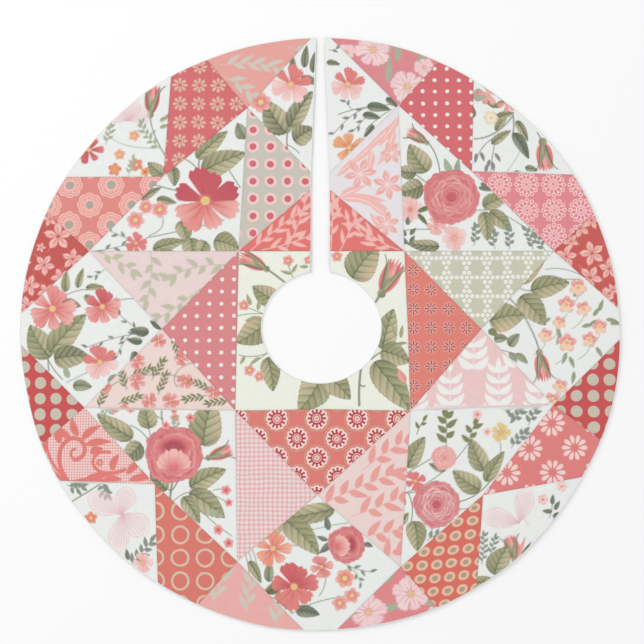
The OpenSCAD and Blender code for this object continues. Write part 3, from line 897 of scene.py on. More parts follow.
def starsRight(p):
    for x, y, r, turn in ((508, 143, 24, 36), (459, 137, 20, 10), (503, 97, 23, 60), (540, 114, 20, 20),
            (528, 60, 20, 0), (486, 191, 18, 40), (508, 206, 17, 10), (468, 166, 15, 50),
            (548, 36, 16, 30), (546, 74, 12, 50)):
        p.star(x, y, r, turn)


def damaskScrolls(p):
    # curled stems and drops, laid white on black as a mask
    for path, width in (((-462, -286, -490, -256, -486, -212, -458, -204), 8),
            ((-458, -204, -430, -202, -424, -240, -452, -244), 8),
            ((-452, -244, -462, -240, -462, -226, -452, -224), 5),
            ((-388, -230, -424, -222, -430, -264, -396, -268), 6),
            ((-396, -268, -374, -270, -360, -262), 7), ((-462, -286, -500, -270, -516, -232), 7),
            ((-470, -276, -504, -250, -506, -206), 5), ((-454, -284, -420, -276, -390, -284), 6)):
        p.stem(path, width, "mask", 1.0)
    for x, y, length, turn in ((-447, -200, 38, 108), (-440, -206, 44, 36), (-432, -216, 48, 6),
            (-462, -204, 30, 130), (-480, -214, 34, 96), (-384, -264, 34, 66), (-356, -270, 44, 38),
            (-352, -282, 58, 8), (-436, -284, 52, 14), (-400, -284, 36, 6), (-424, -232, 26, 20),
            (-512, -236, 30, 70), (-494, -262, 26, 140), (-330, -268, 36, 34), (-306, -284, 30, 10)):
        p.blade(x, y, length, 14, turn, "mask", "mask", bow=0.45)
    at, u, v = p.frame(-406, -249, 12, 0)
    p.lay(at, 6.5 - np.hypot(u, v), ink["mask"])
    p.lay(at, 2.5 - np.hypot(u, v), ink["mask"] * 0.2)


def butterflyLeft(p):
    p.stem((-466, -326, -430, -306, -398, -284), 2.6)
    each(p.vine, (((-398, -284, -402, -296, -394, -306), 8, 18, 7),
        ((-466, -290, -452, -300, -440, -294), 9, 18, 7)), "grey")
    for turn, size, width in ((152, 72, 44), (78, 52, 38), (-36, 60, 46), (-98, 74, 40)):
        p.wing(-364, -344, size, width, turn)
    p.blossom(-422, -352, 12, 20, tip="orange")
    p.vine((-350, -440, -330, -420, -312, -396), 13, 20, 8, "grey")
    p.blade(-352, -430, 22, 9, 100, "grey", "leafVein")
    p.cosmos(-326, -434, 20, 0, "blush", "pale", 6, wide=0.4)


def butterflyRight(p):
    for turn, size, width in ((168, 70, 38), (76, 66, 36)):
        p.wing(366, -360, size, width, turn)
    p.stem((372, -350, 378, -358, 382, -364), 2, "blush")
    p.stem((422, -352, 428, -334, 428, -320), 1.6, "grey")
    for x, y, turn in ((428, -328, 86), (432, -338, 60), (428, -340, 176), (428, -350, 20),
            (430, -352, -40)):
        p.blade(x, y, 20, 9, turn, "grey", "leafVein")
    each(p.blossom, ((410, -318, 10, 0), (446, -294, 10, 0)), "pale", heart="coral")
    p.bud(358, -430, 50, 104, 34)
    each(p.vine, (((296, -436, 302, -410, 300, -386), 10, 13, 5),
        ((312, -420, 316, -404, 320, -390), 10, 13, 5)), "grey")
    each(p.leaf, ((318, -456, 58, 44, 64), (276, -476, 46, 24, 14)))
    p.blade(362, -428, 46, 8, 70, "blush", "coral")
    p.blade(366, -428, 40, 7, 56, "leafDark", "leafVein")


class Wire:
    # a socket in a material; sums and products written on it add the Math nodes
    tree = None

    def __init__(self, socket):
        self.socket = socket

    @classmethod
    def node(cls, kind, settings=None, inputs=None, output=0):
        made = cls.tree.nodes.new(kind)
        for key, value in (settings or {}).items():
            setattr(made, key, value)
        for key, value in (inputs or {}).items():
            if isinstance(value, Wire):
                cls.tree.links.new(value.socket, made.inputs[key])
            else:
                made.inputs[key].default_value = value
        return cls(made.outputs[output])

    def part(self, output):
        return Wire(self.socket.node.outputs[output])

    def __add__(self, other):
        return maths("ADD", self, other)

    def __radd__(self, other):
        return maths("ADD", other, self)

    def __sub__(self, other):
        return maths("SUBTRACT", self, other)

    def __rsub__(self, other):
        return maths("SUBTRACT", other, self)

    def __mul__(self, other):
        return maths("MULTIPLY", self, other)

    def __rmul__(self, other):
        return maths("MULTIPLY", other, self)

    def __truediv__(self, other):
        return maths("DIVIDE", self, other)


def maths(operation, *values, clamp=False):
    return Wire.node("ShaderNodeMath", {"operation": operation, "use_clamp": clamp}, dict(enumerate(values)))


def dye(code):
    return (*hue(code), 1.0)


def mark(name, output):
    # what the mesh holds under a name: output 0 as a colour, 1 as a vector, 2 as a number
    return Wire.node("ShaderNodeAttribute", {"attribute_name": name}, {}, output)


def planAxes():
    # place on the plan in millimetres, whole and as x and y
    plan = mark("plan", 1)
    axes = Wire.node("ShaderNodeSeparateXYZ", {}, {0: plan})
    return plan, axes.part(0), axes.part(1)


def noise(plan, scale, detail, rough=0.5, output=0):
    values = {"Vector": plan, "Scale": scale, "Detail": detail, "Roughness": rough}
    return Wire.node("ShaderNodeTexNoise", {}, values, output)


def woven(x, y, pitch):
    # crossed sine waves, one thread to each pitch
    return maths("SINE", x * (math.tau / pitch)) * maths("SINE", y * (math.tau / pitch))


def tinted(share, low, high):
    # low where share is 0, high where it is 1
    return Wire.node("ShaderNodeMix", {"data_type": "RGBA"}, {0: share, 6: low, 7: high}, 2)


def within(depth, blur=1.2):
    # 1 inside a shape and 0 outside, from the distance inside its edge
    return maths("ADD", depth / blur, 0.5, clamp=True)


def band(r, middle, half):
    return within(half - maths("ABSOLUTE", r - middle))


def latticeCell(x, y, pitch, at):
    # place within a cell of a lattice, from -half a pitch to half a pitch
    u = (maths("FRACT", (x - at[0]) / pitch[0] + 0.5) - 0.5) * pitch[0]
    v = (maths("FRACT", (y - at[1]) / pitch[1] + 0.5) - 0.5) * pitch[1]
    return u, v, u * u + v * v


def spot(x, y, pitch, at, stagger=False):
    # radius and angle about the nearest repeat of a print; staggered rows move half a pitch
    tall = (pitch[0], pitch[1] * (2 if stagger else 1))
    u, v, square = latticeCell(x, y, tall, at)
    if stagger:
        u2, v2, square2 = latticeCell(x, y, tall, (at[0] + pitch[0] / 2, at[1] + pitch[1]))
        near = maths("LESS_THAN", square2, square)
        u, v = u + (u2 - u) * near, v + (v2 - v) * near
        square = maths("MINIMUM", square, square2)
    return maths("SQRT", square), maths("ARCTAN2", v, u), u, v


def scallop(angle, count, tip, root, power=1.0):
    # radius that swings between root and tip with the cosine of the angle
    return root + (tip - root) * maths("POWER", maths("ABSOLUTE", maths("COSINE", angle * (count / 2))), power)


def petals(r, angle, count, tip, root, power):
    return within(scallop(angle, count, tip, root, power) - r)


def wedge(angle, count):
    # angle from the middle of the nearest of count equal slices of a turn
    return (maths("FRACT", angle * (count / math.tau) + 0.5) - 0.5) * (math.tau / count)


def rays(r, angle, count, middle, half, wide):
    # straight bars along the radius, each centred at the middle radius
    side = r * maths("ABSOLUTE", maths("SINE", wedge(angle, count)))
    return within(wide - side) * within(half - maths("ABSOLUTE", r - middle))


def beads(r, angle, count, away):
    # distance from the nearest of a ring of points that lie away from the middle
    bend = wedge(angle, count)
    return maths("SQRT", (r - away) * (r - away) + away * away * bend * bend)


def drops(r, angle, count, away, long, wide):
    # a ring of ovals that point outwards, from their half lengths and half widths
    side = away * wedge(angle, count) / wide
    along = (r - away) / long
    return within((1 - maths("SQRT", along * along + side * side)) * wide)


def plainDots(x, y, ground, pitch, at, size, tint="#eee9e2"):
    return tinted(within(size - spot(x, y, pitch, at)[0]), dye(ground), dye(tint))


def starbursts(x, y, ground):
    r, a = spot(x, y, (33, 36), (206, 2))[:2]
    colour = tinted(rays(r, a, 8, 7.6, 5.2, 2.3) * 0.8, dye(ground), dye("#f2c0b6"))
    return tinted(rays(r, a, 8, 7.6, 4.1, 1.1), colour, dye("#8f4547"))


def gears(x, y, ground):
    r, a = spot(x, y, (74, 36), (-6, -168), True)[:2]
    colour = tinted(band(r, scallop(a, 12, 23.4, 22.2), 0.9), dye(ground), dye("#c9a489"))
    colour = tinted(petals(r, a, 12, 20.5, 18.5, 1), colour, dye("#f2dad3"))
    tooth = rays(r, a, 12, 13, 4.2, 1.9)
    colour = tinted(maths("MAXIMUM", tooth, band(r, 9.8, 1.5)), colour, dye("#b93a45"))
    colour = tinted(band(r, 6.0, 1.0), colour, dye("#c24a54"))
    return tinted(within(3 - r), colour, dye("#d8a58a"))


def ringedDots(x, y, ground):
    r = spot(x, y, (32.5, 33), (-126, 346))[0]
    colour = tinted(within(11.5 - r), dye(ground), dye("#efcbc8"))
    return tinted(within(6.4 - r), colour, dye("#cf6d75"))


def gingham(x, y, ground):
    u, v = spot(x, y, (8.6, 8.4), (-100, -200))[2:]
    u, v = maths("ABSOLUTE", u), maths("ABSOLUTE", v)
    warp, weft = within(u - 2.7, 0.9), within(v - 2.6, 0.9)
    colour = tinted(maths("MAXIMUM", warp, weft), dye(ground), dye("#eabcbd"))
    return tinted(warp * weft, colour, dye("#e4aaae"))


def daisies(x, y, ground):
    r, a = spot(x, y, (35.5, 36), (-264, 465))[:2]
    colour = tinted(drops(r, a, 8, 9.2, 4.8, 2.5), dye(ground), dye("#dcb9a4"))
    return tinted(band(r, 4.6, 0.8), colour, dye("#dcb9a4"))


def medallions(x, y, ground):
    # lace in thin pale lines round a grey heart
    r, a = spot(x, y, (78, 38), (-392, 273), True)[:2]
    pale = dye("#f4cac2")
    colour = tinted(petals(r, a, 8, 24, 20.5, 0.6) * 0.7, dye(ground), dye("#e8a69d"))
    colour = tinted(band(r, scallop(a, 8, 23.5, 20, 0.6), 0.9), colour, pale)
    colour = tinted(band(r, scallop(a, 8, 18.5, 14.5, 0.6), 0.8), colour, pale)
    colour = tinted(rays(r, a, 16, 12.5, 2.2, 0.9), colour, pale)
    colour = tinted(band(r, 9.6, 0.7), colour, pale)
    return tinted(within(7.2 - r), colour, dye("#a9aa9c"))


def laceStars(x, y, ground):
    # loops round spokes round a small ring
    r, a = spot(x, y, (51, 49), (386, 225))[:2]
    pale = dye("#f6d0ce")
    colour = tinted(band(beads(r, a, 12, 19.5), 3.3, 0.9), dye(ground), pale)
    colour = tinted(rays(r, a, 12, 13, 3.4, 0.9), colour, pale)
    colour = tinted(within(1.9 - beads(r, a, 12, 16.5)), colour, pale)
    colour = tinted(band(r, 8.8, 1.0), colour, pale)
    return tinted(within(2.2 - beads(r, a, 6, 4.6)) * 0.8, colour, pale)


def laceLattice(x, y, ground):
    # close rows of dots; a dot whose middle is near a star's middle is left out
    dots = spot(x, y, (9.5, 9), (330, 80), True)
    star = spot(x - dots[2], y - dots[3], (38, 36), (330, 80))[0]
    seen = within(star - 10.6, 0.5)
    return tinted(within(3.9 - dots[0], 1) * seen, dye(ground), dye("#ecebe3"))


def damask(x, y, ground):
    # painted scrolls over a fine lattice
    u, v = spot(x, y, (5, 5), (0, 0))[2:]
    hole = within(1.7 - maths("MAXIMUM", maths("ABSOLUTE", u), maths("ABSOLUTE", v)), 0.8)
    return tinted(mark("print", 2), tinted(hole, dye("#e39d9c"), dye("#f0ddd6")), dye(ground))


def tanRings(x, y, ground):
    r = spot(x, y, (46, 43), (-257, -382))[0]
    return tinted(band(r, 15.2, 2.1), dye(ground), dye("#d8c0aa"))


def paleDaisies(x, y, ground):
    r, a = spot(x, y, (84, 46), (428, -176), True)[:2]
    return tinted(drops(r, a, 10, 16, 8.2, 3.7), dye(ground), dye("#f1d3cc"))


def ovalDots(x, y, ground):
    # the rows lean a little, so the lattice is sheared
    u, v = spot(x - 0.16 * y, y - 0.075 * x, (26.4, 24.7), (257, -452))[2:]
    r = maths("SQRT", u * u * 0.85 + v * v * 1.15)
    colour = tinted(within(9.6 - r), dye(ground), dye("#e6bfa2"))
    return tinted(within(5 - r), colour, dye("#b09c8a"))


# the look of every cloth: threads in millimetres, how dark the painted shadow along each seam is and how strong
# the mottling is
fabric = {"weave": 1.6, "rough": 0.86, "tapeRough": 0.9, "ditch": 0.22, "mottle": 0.10, "crumple": 2.2,
          "wander": 5, "relief": 0.35, "shine": 0.25, "sheen": 0.15, "sheenRough": 0.5}


def clothMaterial(name, colour, rough=fabric["rough"]):
    # colour is a web colour, the mark "print" or a pattern; a painted shadow darkens it along seams and outer
    # edges, and threads raise it
    made = bpy.data.materials.new(name)
    made.use_nodes = True
    Wire.tree = made.node_tree
    shader = made.node_tree.nodes["Principled BSDF"]
    plan, x, y = planAxes()
    if colour == "print":
        tint = mark("print", 0)
    elif callable(colour):
        drift = Wire.node("ShaderNodeSeparateColor", {}, {0: noise(plan, 0.02, 1.0, output=1)})
        right, up = ((drift.part(i) - 0.5) * fabric["wander"] for i in (0, 1))
        tint = colour(x + right, y + up)
    else:
        tint = dye(colour)
    # mottled dye, and a painted shadow along each seam and outer edge, where the top dips
    ditch = maths("POWER", 2.718, mark("seam", 2) * -0.9) * fabric["ditch"]
    shade = maths("SUBTRACT", 1.03 - (noise(plan, 0.09, 3.0) - 0.5) * fabric["mottle"], ditch)
    grey = Wire.node("ShaderNodeCombineColor", {}, {0: shade, 1: shade, 2: shade})
    blending = {"data_type": "RGBA", "blend_type": "MULTIPLY"}
    shaded = Wire.node("ShaderNodeMix", blending, {0: 1.0, 6: tint, 7: grey}, 2)
    height = woven(x, y, fabric["weave"]) * 0.03 + noise(plan, 0.022, 4.0, 0.55) * fabric["crumple"]
    bump = Wire.node("ShaderNodeBump", {}, {"Strength": fabric["relief"], "Distance": mm, "Height": height})
    Wire.tree.links.new(shaded.socket, shader.inputs["Base Color"])
    Wire.tree.links.new(bump.socket, shader.inputs["Normal"])
    shader.inputs["Roughness"].default_value = rough
    shader.inputs["Specular IOR Level"].default_value = fabric["shine"]
    shader.inputs["Sheen Weight"].default_value = fabric["sheen"]
    shader.inputs["Sheen Roughness"].default_value = fabric["sheenRough"]
    return made


# patch: seam crossings, ground colour, and its print: a painter, or a repeating pattern and its values in a
# tuple, which may have a painter that draws over it
patches = {
    "centre_leaves": ([(-1, -1), (1, -1), (1, 1), (-1, 1)], "#eceee2", centreLeaves),
    "wheat_left": ([(-1, 1), (0, 1), (0, 2)], "#e17873", ringsOfWheatLeft),
    "wheat_right": ([(0, 1), (1, 1), (0, 2)], "#e17873", ringsOfWheatRight),
    "white_dots": ([(-1, 1), (-2, 0), (-1, -1)], "#d8888a", (plainDots, (22.7, 23), (-274, 2), 3.7)),
    "starbursts": ([(1, -1), (2, 0), (1, 1)], "#e08276", (starbursts,)),
    "gears": ([(-1, -1), (0, -2), (1, -1)], "#dc7d75", (gears,)),
    "sage_vine": ([(-1, 1), (-3, 1), (-2, 0)], "#e8d4d2", sageVine),
    "olive_sprigs": ([(-1, -1), (-2, 0), (-3, -1)], "#ecd6d0", oliveSprigs),
    "ringed_dots": ([(-1, 1), (0, 2), (-1, 3)], "#c8c3b7", (ringedDots,)),
    "lilies": ([(1, 1), (1, 3), (0, 2)], "#e6e1e4", lilies),
    "lace_lattice": ([(1, 1), (2, 0), (3, 1)], "#c8c8b4", (laceLattice,)),
    "laurel": ([(1, -1), (3, -1), (2, 0)], "#ecc8c8", laurel),
    "gingham": ([(-1, -1), (-1, -3), (0, -2)], "#e7ddd9", (gingham,)),
    "coral_leaves": ([(1, -1), (0, -2), (1, -3)], "#ebd4d0", coralLeaves),
    "cosmos_corner": ([(-1, 1), (-1, 3), (-2, 2), (-3, 1)], "#eaece9", cosmosCorner),
    "rose_corner": ([(1, 1), (3, 1), (2, 2), (1, 3)], "#eaece9", roseCorner),
    "peony_corner": ([(-1, -1), (-3, -1), (-2, -2), (-1, -3)], "#eaece9", peonyCorner),
    "two_roses_corner": ([(1, -1), (1, -3), (2, -2), (3, -1)], "#eaece9", twoRoses),
    "left_diamond": ([(-3, 1), (-4, 0), (-3, -1), (-2, 0)], "#eaece9", leftDiamond),
    "right_diamond": ([(3, 1), (2, 0), (3, -1), (4, 0)], "#eaece9", rightDiamond),
    "back_diamond_left": ([(-1, 3), (0, 2), (0, 4)], "#eaece9", backDiamondLeft),
    "back_diamond_right": ([(1, 3), (0, 4), (0, 2)], "#eaece9", backDiamondRight),
    "front_diamond": ([(-1, -3), (0, -4), (1, -3), (0, -2)], "#eaece9", frontDiamond),
    "daisies": ([(-1, 3), (-2, 4), (-2, 2)], "#d47074", (daisies,)),
    "bud_square": ([(-2, 2), (-2, 4), (-4, 4), (-4, 2)], "#eaece9", budSquare),
    "medallions": ([(-2, 2), (-4, 2), (-3, 1)], "#de8c84", (medallions,)),
    "salmon_vine_back": ([(-1, 3), (0, 4), (-2, 4)], "#e5a59e", salmonVineBack),
    "pink_cosmos_back": ([(1, 3), (2, 4), (0, 4)], "#da8c90", pinkCosmosBack),
    "red_dots": ([(1, 3), (2, 2), (2, 4)], "#d46e73", (plainDots, (23, 22.5), (239, 408), 3.7)),
    "branch_square": ([(2, 2), (4, 2), (4, 4), (2, 4)], "#eaece9", branchSquare),
    "lace_stars": ([(2, 2), (3, 1), (4, 2)], "#e08a91", (laceStars,)),
    "grey_dots_left": ([(-3, -1), (-4, 0), (-4, -2)], "#c85555",
        (plainDots, (31, 29.5), (-520, -101), 11, "#c9bfae")),
    "damask": ([(-2, -2), (-3, -1), (-4, -2)], "#de7d76", (damask,), damaskScrolls),
    "butterfly_left": ([(-2, -2), (-4, -2), (-4, -4), (-2, -4)], "#eaece9", butterflyLeft),
    "tan_rings": ([(-1, -3), (-2, -2), (-2, -4)], "#d97a6e", (tanRings,)),
    "salmon_vine_front": ([(-1, -3), (-2, -4), (0, -4)], "#e9aea9", salmonVineFront),
    "grey_dots_right": ([(3, -1), (4, -2), (4, 0)], "#c85555",
        (plainDots, (31, 29.5), (505, -125), 11, "#c9bfae")),
    "pale_daisies": ([(2, -2), (4, -2), (3, -1)], "#de8280", (paleDaisies,)),
    "butterfly_right": ([(2, -2), (2, -4), (4, -4), (4, -2)], "#eaece9", butterflyRight),
    "oval_dots": ([(1, -3), (2, -4), (2, -2)], "#d87062", (ovalDots,)),
    "pink_cosmos_front": ([(1, -3), (0, -4), (2, -4)], "#de8a8c", pinkCosmosFront),
    "blossoms_left": ([(-3, 1), (-4, 2), (-4, 0)], "#c45d59", starsLeft),
    "blossoms_right": ([(3, 1), (4, 0), (4, 2)], "#c85f5a", starsRight),
}


def cutSize(x, y):
    # width, length and area of a cut, in metres, from its grid on the plan
    a = np.stack([x[1:, 1:] - x[:-1, :-1], y[1:, 1:] - y[:-1, :-1]])
    b = np.stack([x[1:, :-1] - x[:-1, 1:], y[1:, :-1] - y[:-1, 1:]])
    area = 0.5 * np.abs(a[0] * b[1] - a[1] * b[0]).sum()
    return (float(np.ptp(x)) * mm, float(np.ptp(y)) * mm), float(area) * mm * mm


def settle(piece, nodes, material, x, y, restsOn):
    # give the piece its finish and hide the CAD nodes it stands for; a piece on a flap that reaches the fold is
    # baked in place, any other is attached to its body
    piece.data.materials.append(material)
    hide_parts(*nodes)
    flat, area = cutSize(x, y)
    owners = {bodyOf[node] for node in nodes}
    flap = next((b for b in owners if b.endswith("flap")), None)
    crease = skirt["block"]
    if flap and y.min() < crease + skirt["bend"] - 0.5:
        crease * mm
        (crease + skirt["bend"]) * mm
        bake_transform(piece)
    else:
        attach(piece, owners.pop())


coarser = 1.0
# grid step in millimetres, and how much the steps tighten towards the edges
grain = {"centre": (1.5, 0.5), "painted": (1.5, 0.45), "pattern": (5.0, 0.8), "liningBody": (12, 0.92),
         "liningFlap": (9, 0.9)}
# how the top dips at a seam and at an outer edge: (depth, reach)
dip = {"seam": (0.5, 5), "edge": (0.4, 2.5)}

for name, (corners, ground, dressing, *overlay) in patches.items():
    painted = bool(overlay) or not isinstance(dressing, tuple)
    ringed = name == "centre_leaves"
    step, ease = grain["centre" if ringed else "painted" if painted else "pattern"]
    if ringed:
        side = skirt["slit"] + skirt["turn"] * 0.7
        edge = [(side, skirt["block"]), *map(place, ((1, 1), (1, -1), (-1, -1), (-1, 1)))]
        edge.append((-side, skirt["block"]))
        x, y = ringGrid([np.array(p, float) for p in edge], step * coarser, ease, skirt["turn"])
    else:
        x, y = rowGrid(corners, step * coarser, ease, skirt["turn"])
    seam, gap = seamGap(corners, x, y), edgeGap(x, y)
    wave = rolling(x, y)
    high = skirt["top"] + wave
    high = high - dip["seam"][0] * np.exp(-seam / dip["seam"][1])
    high = high - dip["edge"][0] * np.exp(-(gap / dip["edge"][1]) ** 2)
    low = skirt["patchLow"] + wave
    # seam: the smaller of the distance to a seam and twice the distance to an outer edge; the material paints a
    # shadow where it is small
    marks = {"plan": np.stack([x, y, 0 * x], -1), "seam": np.minimum(seam, gap * 2.0)}
    if painted:
        cloth = Print(x, y, "#000000" if overlay else ground)
        (overlay or [dressing])[0](cloth)
        marks["print"] = np.concatenate([cloth.colour, np.ones((x.size, 1))], 1).reshape(*x.shape, 4)
    colour = "print"
    if isinstance(dressing, tuple):
        colour = partial(dressing[0], ground=ground, **dict(zip(("pitch", "at", "size", "tint"), dressing[1:])))
    nodes = ["patch_" + name]
    if name.startswith("blossoms"):
        nodes = [f"patch_{name}_flap", f"patch_{name}_body"]
    piece = clothPiece("cloth_" + name, x, y, high, low, marks)
    settle(piece, nodes, clothMaterial("cotton_" + name, colour), x, y, ["cloth_lining_" + bodyOf[nodes[0]]])
print("skirt: patches sewn")

# the lining: one cloth in three nodes, turned up over the edges of the patches
cotton = {"colour": "#e9ebe9", "lip": 1.2, "lipWidth": 1.5}
rim, crease = skirt["rim"], skirt["block"]
foldAngle = math.asin(crease / rim)
turnAngles = np.linspace(foldAngle, -math.pi - foldAngle, 260)
arc = [rim * np.array([math.cos(a), math.sin(a)]) for a in turnAngles]
bodyEdge = [np.array([skirt["slit"], crease])] + arc + [np.array([-skirt["slit"], crease])]
far = rim * 1.1      # past the rim


def flapCorners(left, right):
    # a box behind the fold; the rim and the slit trim it
    return [(left, crease, 0), (right, crease, 0), (right, far, 0), (left, far, 0)]


(bodyStep, bodyEase), (flapStep, flapEase) = grain["liningBody"], grain["liningFlap"]
linings = {
    "lining_body": ringGrid(bodyEdge, bodyStep * coarser, bodyEase, 0),
    "lining_left_flap": rowGrid(flapCorners(-far, -1), flapStep * coarser, flapEase, 0),
    "lining_right_flap": rowGrid(flapCorners(1, far), flapStep * coarser, flapEase, 0),
}
for node, (x, y) in linings.items():
    gap, wave = edgeGap(x, y), rolling(x, y)
    low = skirt["liningLow"] + wave
    high = skirt["patchLow"] + wave + cotton["lip"] * np.exp(-(gap / cotton["lipWidth"]) ** 2) - 0.05
    marks = {"plan": np.stack([x, y, 0 * x], -1), "seam": 30 + 0 * x}
    piece = clothPiece("cloth_" + node, x, y, high, low, marks, coarse=40)
    material = clothMaterial("cotton_" + node, cotton["colour"])
    settle(piece, [node], material, x, y, ["cloth_rim_hem_" + bodyOf[node]])
print("skirt: lining laid")


def hemBand(name, profile, ends, step):
    # a closed profile (radius, height) carried round the centre between two limit angles for each radius
    first, last = ends(profile[:, 0])
    count = int(abs(last - first).max() * profile[:, 0].max() / step) + 2
    t = np.linspace(0, 1, count)[:, None]
    angle = first + (last - first) * t
    x, y = profile[:, 0] * np.cos(angle), profile[:, 0] * np.sin(angle)
    wave = rolling(x, y)
    z = np.maximum(profile[:, 1] + wave, np.maximum(profile[:, 1] * 0.6, 0))
    px, py = drifted(x, y)
    n = len(profile)
    index = np.arange(count * n).reshape(count, n)
    after = np.roll(index, -1, 1)
    quads = np.stack([index[:-1], after[:-1], after[1:], index[1:]], -1).reshape(-1, 4)
    flat = np.stack([px, py, z], -1).reshape(-1, 3)
    marks = {"plan": np.stack([x, y, 0 * x], -1).reshape(-1, 3), "seam": np.full(count * n, 30.0)}
    return outwards(meshFrom(name, flat, quads, [index[0][::-1], index[-1]], marks)), x, y


# hems: a folded band under the rim, and one that rolls up round the hole
hem = {"width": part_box("hole_hem")[1].x / mm - skirt["hole"], "depth": skirt["liningLow"], "round": 1.1,
       "step": 5.0}
inner, outer, deep, soft = rim - hem["width"], rim, hem["depth"], hem["round"]
corner = soft * (1 - 1 / math.sqrt(2))
quarter = [(soft, 0), (corner, corner), (0, soft)]      # a rounded corner, from its own corner point
rimProfile = np.array(
    [(inner + dx, dz) for dx, dz in quarter] + [(inner + dx, deep - dz) for dx, dz in quarter[::-1]]
    + [(outer - dx, deep - dz) for dx, dz in quarter] + [(outer - dx, dz) for dx, dz in quarter[::-1]])
hole = skirt["hole"]
holeProfile = np.array([
    (0.9, 0), (hem["width"] - 0.9, 0), (hem["width"], 0.9), (hem["width"], deep), (1.4, deep),
    (1.3, deep + 1.5), (0.9, deep + 1.9), (0.3, deep + 1.6), (0, deep + 0.9), (0, 0.9), (0.3, 0.3)]) + (hole, 0)


def slitAngle(r):
    # angle at which a circle of radius r meets the slit's right edge
    half = slitHalf(np.sqrt(np.maximum(r ** 2 - skirt["slit"] ** 2, 0)))
    return np.arccos(half / r)


def creaseAngle(r):
    return np.arcsin(crease / r)


hems = {
    "rim_hem_body": (rimProfile, lambda r: (-math.pi - creaseAngle(r), creaseAngle(r))),
    "rim_hem_right_flap": (rimProfile, lambda r: (creaseAngle(r), slitAngle(r))),
    "rim_hem_left_flap": (rimProfile, lambda r: (math.pi - slitAngle(r), math.pi - creaseAngle(r))),
    "hole_hem": (holeProfile, lambda r: (-math.pi - slitAngle(r), slitAngle(r))),
}
for node, (profile, ends) in hems.items():
    piece, x, y = hemBand("cloth_" + node, profile, ends, hem["step"] * (1 if node != "hole_hem" else 0.7))
    material = clothMaterial("cotton_" + node, cotton["colour"])
    settle(piece, [node], material, x, y, None)
    first, last = ends(np.array([profile[:, 0].mean()]))
    length = float(abs(last - first)[0] * profile[:, 0].mean()) * mm
    hem["width"] * mm
print("skirt: hems turned")


def slab(name, box, radius, edge):
    # a flat pad with round corners; its top and underside fall off near the edge
    low, high = box[0] / mm, box[1] / mm
    t = eased(26, 0.7)
    y = low.y + (high.y - low.y) * t
    near = np.minimum(y - low.y, high.y - y)
    cut = radius - np.sqrt(np.clip(radius ** 2 - (radius - np.minimum(near, radius)) ** 2, 0, None))
    x = (low.x + cut)[:, None] + ((high.x - low.x) - 2 * cut)[:, None] * t
    y = np.repeat(y[:, None], x.shape[1], 1)
    gap = np.minimum(np.minimum(x - low.x, high.x - x), np.minimum(y - low.y, high.y - y))
    fall = (high.z - low.z) * edge * np.exp(-np.maximum(gap, 0) / 0.5)
    marks = {"plan": np.stack([x, y, 0 * x], -1), "seam": 30 + 0 * x, "rim": gap}
    return clothPiece(name, x, y, high.z - fall, low.z + fall, marks, coarse=26), x, y


def tapeMaterial(name, colour, kind):
    # hook tape is a field of small bumps, loop tape a soft nap, a tab is plain cloth with a line of stitches
    made = clothMaterial(name, colour, fabric["tapeRough"])
    shader = made.node_tree.nodes["Principled BSDF"]
    plan, x, y = planAxes()
    if kind == "hook":
        height = woven(x, y, 1.1) * 0.5
    elif kind == "loop":
        height = noise(plan, 1.1, 3.0) * 1.2
    else:
        height = woven(x, y, fabric["weave"]) * 0.1
    dash = within(maths("SINE", (x + y) * (math.tau / 3.2)) + 0.35, 0.5)
    stitch = band(mark("rim", 2), 2.4, 0.45) * dash
    values = {"Strength": 0.5, "Distance": 0.6 * mm, "Height": height + stitch * 0.8}
    Wire.tree.links.new(Wire.node("ShaderNodeBump", {}, values).socket, shader.inputs["Normal"])
    return made


# colours, round corners in millimetres and how much of the thickness falls off at the edge
tape = {"tab": "#eceeea", "hook": "#dcdedb", "loop": "#e2e3e0", "tabCut": (4, 0.3), "padCut": (1.5, 0.25)}
for k in (1, 2, 3):
    piece, x, y = slab(f"closing_tab_{k}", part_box(f"tab_{k}"), *tape["tabCut"])
    material = tapeMaterial(f"tab_cloth_{k}", tape["tab"], "tab")
    settle(piece, [f"tab_{k}"], material, x, y, ["cloth_lining_left_flap"])
    piece, x, y = slab(f"hook_tape_{k}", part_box(f"hook_pad_{k}"), *tape["padCut"])
    material = tapeMaterial(f"hook_tape_{k}", tape["hook"], "hook")
    settle(piece, [f"hook_pad_{k}"], material, x, y, [f"closing_tab_{k}"])

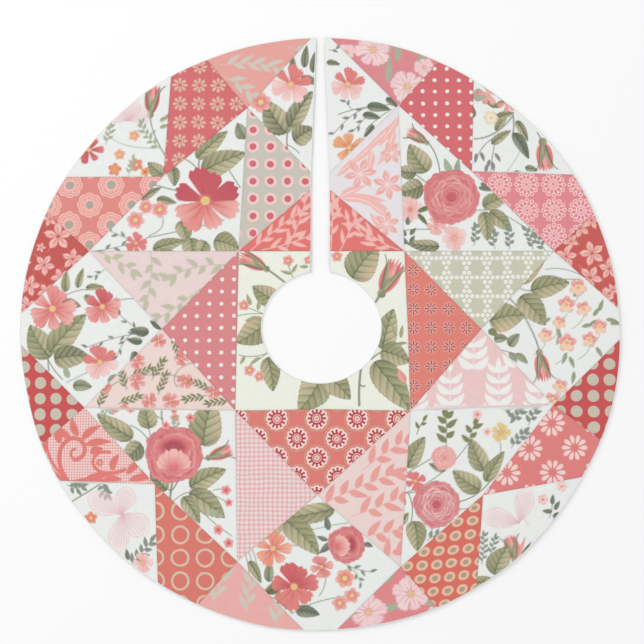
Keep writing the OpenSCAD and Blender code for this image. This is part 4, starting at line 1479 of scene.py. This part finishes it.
# the three loop pads lie in one CAD node, each where its tab's hook pad comes to rest
loopLow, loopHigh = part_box("loop_pads")
pads, grids = [], []
for k in (1, 2, 3):
    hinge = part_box(f"tab_{k}")[1].x
    low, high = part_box(f"hook_pad_{k}")
    box = Vector((2 * hinge - high.x, low.y, loopLow.z)), Vector((2 * hinge - low.x, high.y, loopHigh.z))
    piece, x, y = slab(f"loop_tape_{k}", box, *tape["padCut"])
    pads.append(piece)
    grids.append((x, y))
with bpy.context.temp_override(active_object=pads[0], selected_editable_objects=pads):
    bpy.ops.object.join()
pads[0].name = "loop_tape"
settle(pads[0], ["loop_pads"], tapeMaterial("loop_tape", tape["loop"], "loop"), *grids[0], None)
flat, area = cutSize(*grids[0])
print("skirt: closing tabs sewn on")

# pale floor, soft light from all round and a little more from the back left
studio = {"floor": "#ffffff", "floorHalf": 8, "sky": 0.81, "key": 42.0,
          "keyAt": (-2.2, 1.6, 3.4), "keySize": 3.0}
floorMesh = bpy.data.meshes.new("floor")
half = studio["floorHalf"]
floorCorners = [(-half, -half, 0), (half, -half, 0), (half, half, 0), (-half, half, 0)]
floorMesh.from_pydata(floorCorners, [], [(0, 1, 2, 3)])
floor = bpy.data.objects.new("floor", floorMesh)
bpy.context.collection.objects.link(floor)
floorPaint = bpy.data.materials.new("floor_paint")
floorPaint.use_nodes = True
paint = floorPaint.node_tree.nodes["Principled BSDF"].inputs
paint["Base Color"].default_value = dye(studio["floor"])
paint["Roughness"].default_value = 0.9
paint["Specular IOR Level"].default_value = 0.0
floorMesh.materials.append(floorPaint)
world = bpy.data.worlds.new("studio")
world.use_nodes = True
world.node_tree.nodes["Background"].inputs["Color"].default_value = (1, 1, 1, 1)
world.node_tree.nodes["Background"].inputs["Strength"].default_value = studio["sky"]
bpy.context.scene.world = world
lampData = bpy.data.lights.new("key", "AREA")
lampData.energy, lampData.size = studio["key"], studio["keySize"]
lamp = bpy.data.objects.new("key", lampData)
lamp.location = studio["keyAt"]
lamp.rotation_euler = Vector(studio["keyAt"]).to_track_quat("Z", "Y").to_euler()
bpy.context.collection.objects.link(lamp)

# camera far off with a long lens, almost overhead
view = {"elevation": 80.9, "distance": 5.0, "aim": (0.0032, 0.0139, 0.0), "lens": 150.4}
tilt = math.radians(view["elevation"])
cameraData = bpy.data.cameras.new("camera")
cameraData.lens, cameraData.sensor_width = view["lens"], 36
camera = bpy.data.objects.new("camera", cameraData)
away = Vector((0, -math.cos(tilt), math.sin(tilt)))
camera.location = Vector(view["aim"]) + away * view["distance"]
camera.rotation_euler = away.to_track_quat("Z", "Y").to_euler()
bpy.context.collection.objects.link(camera)
bpy.context.scene.camera = camera
bpy.context.scene.view_settings.view_transform = "Standard"

print("skirt: studio and camera set")
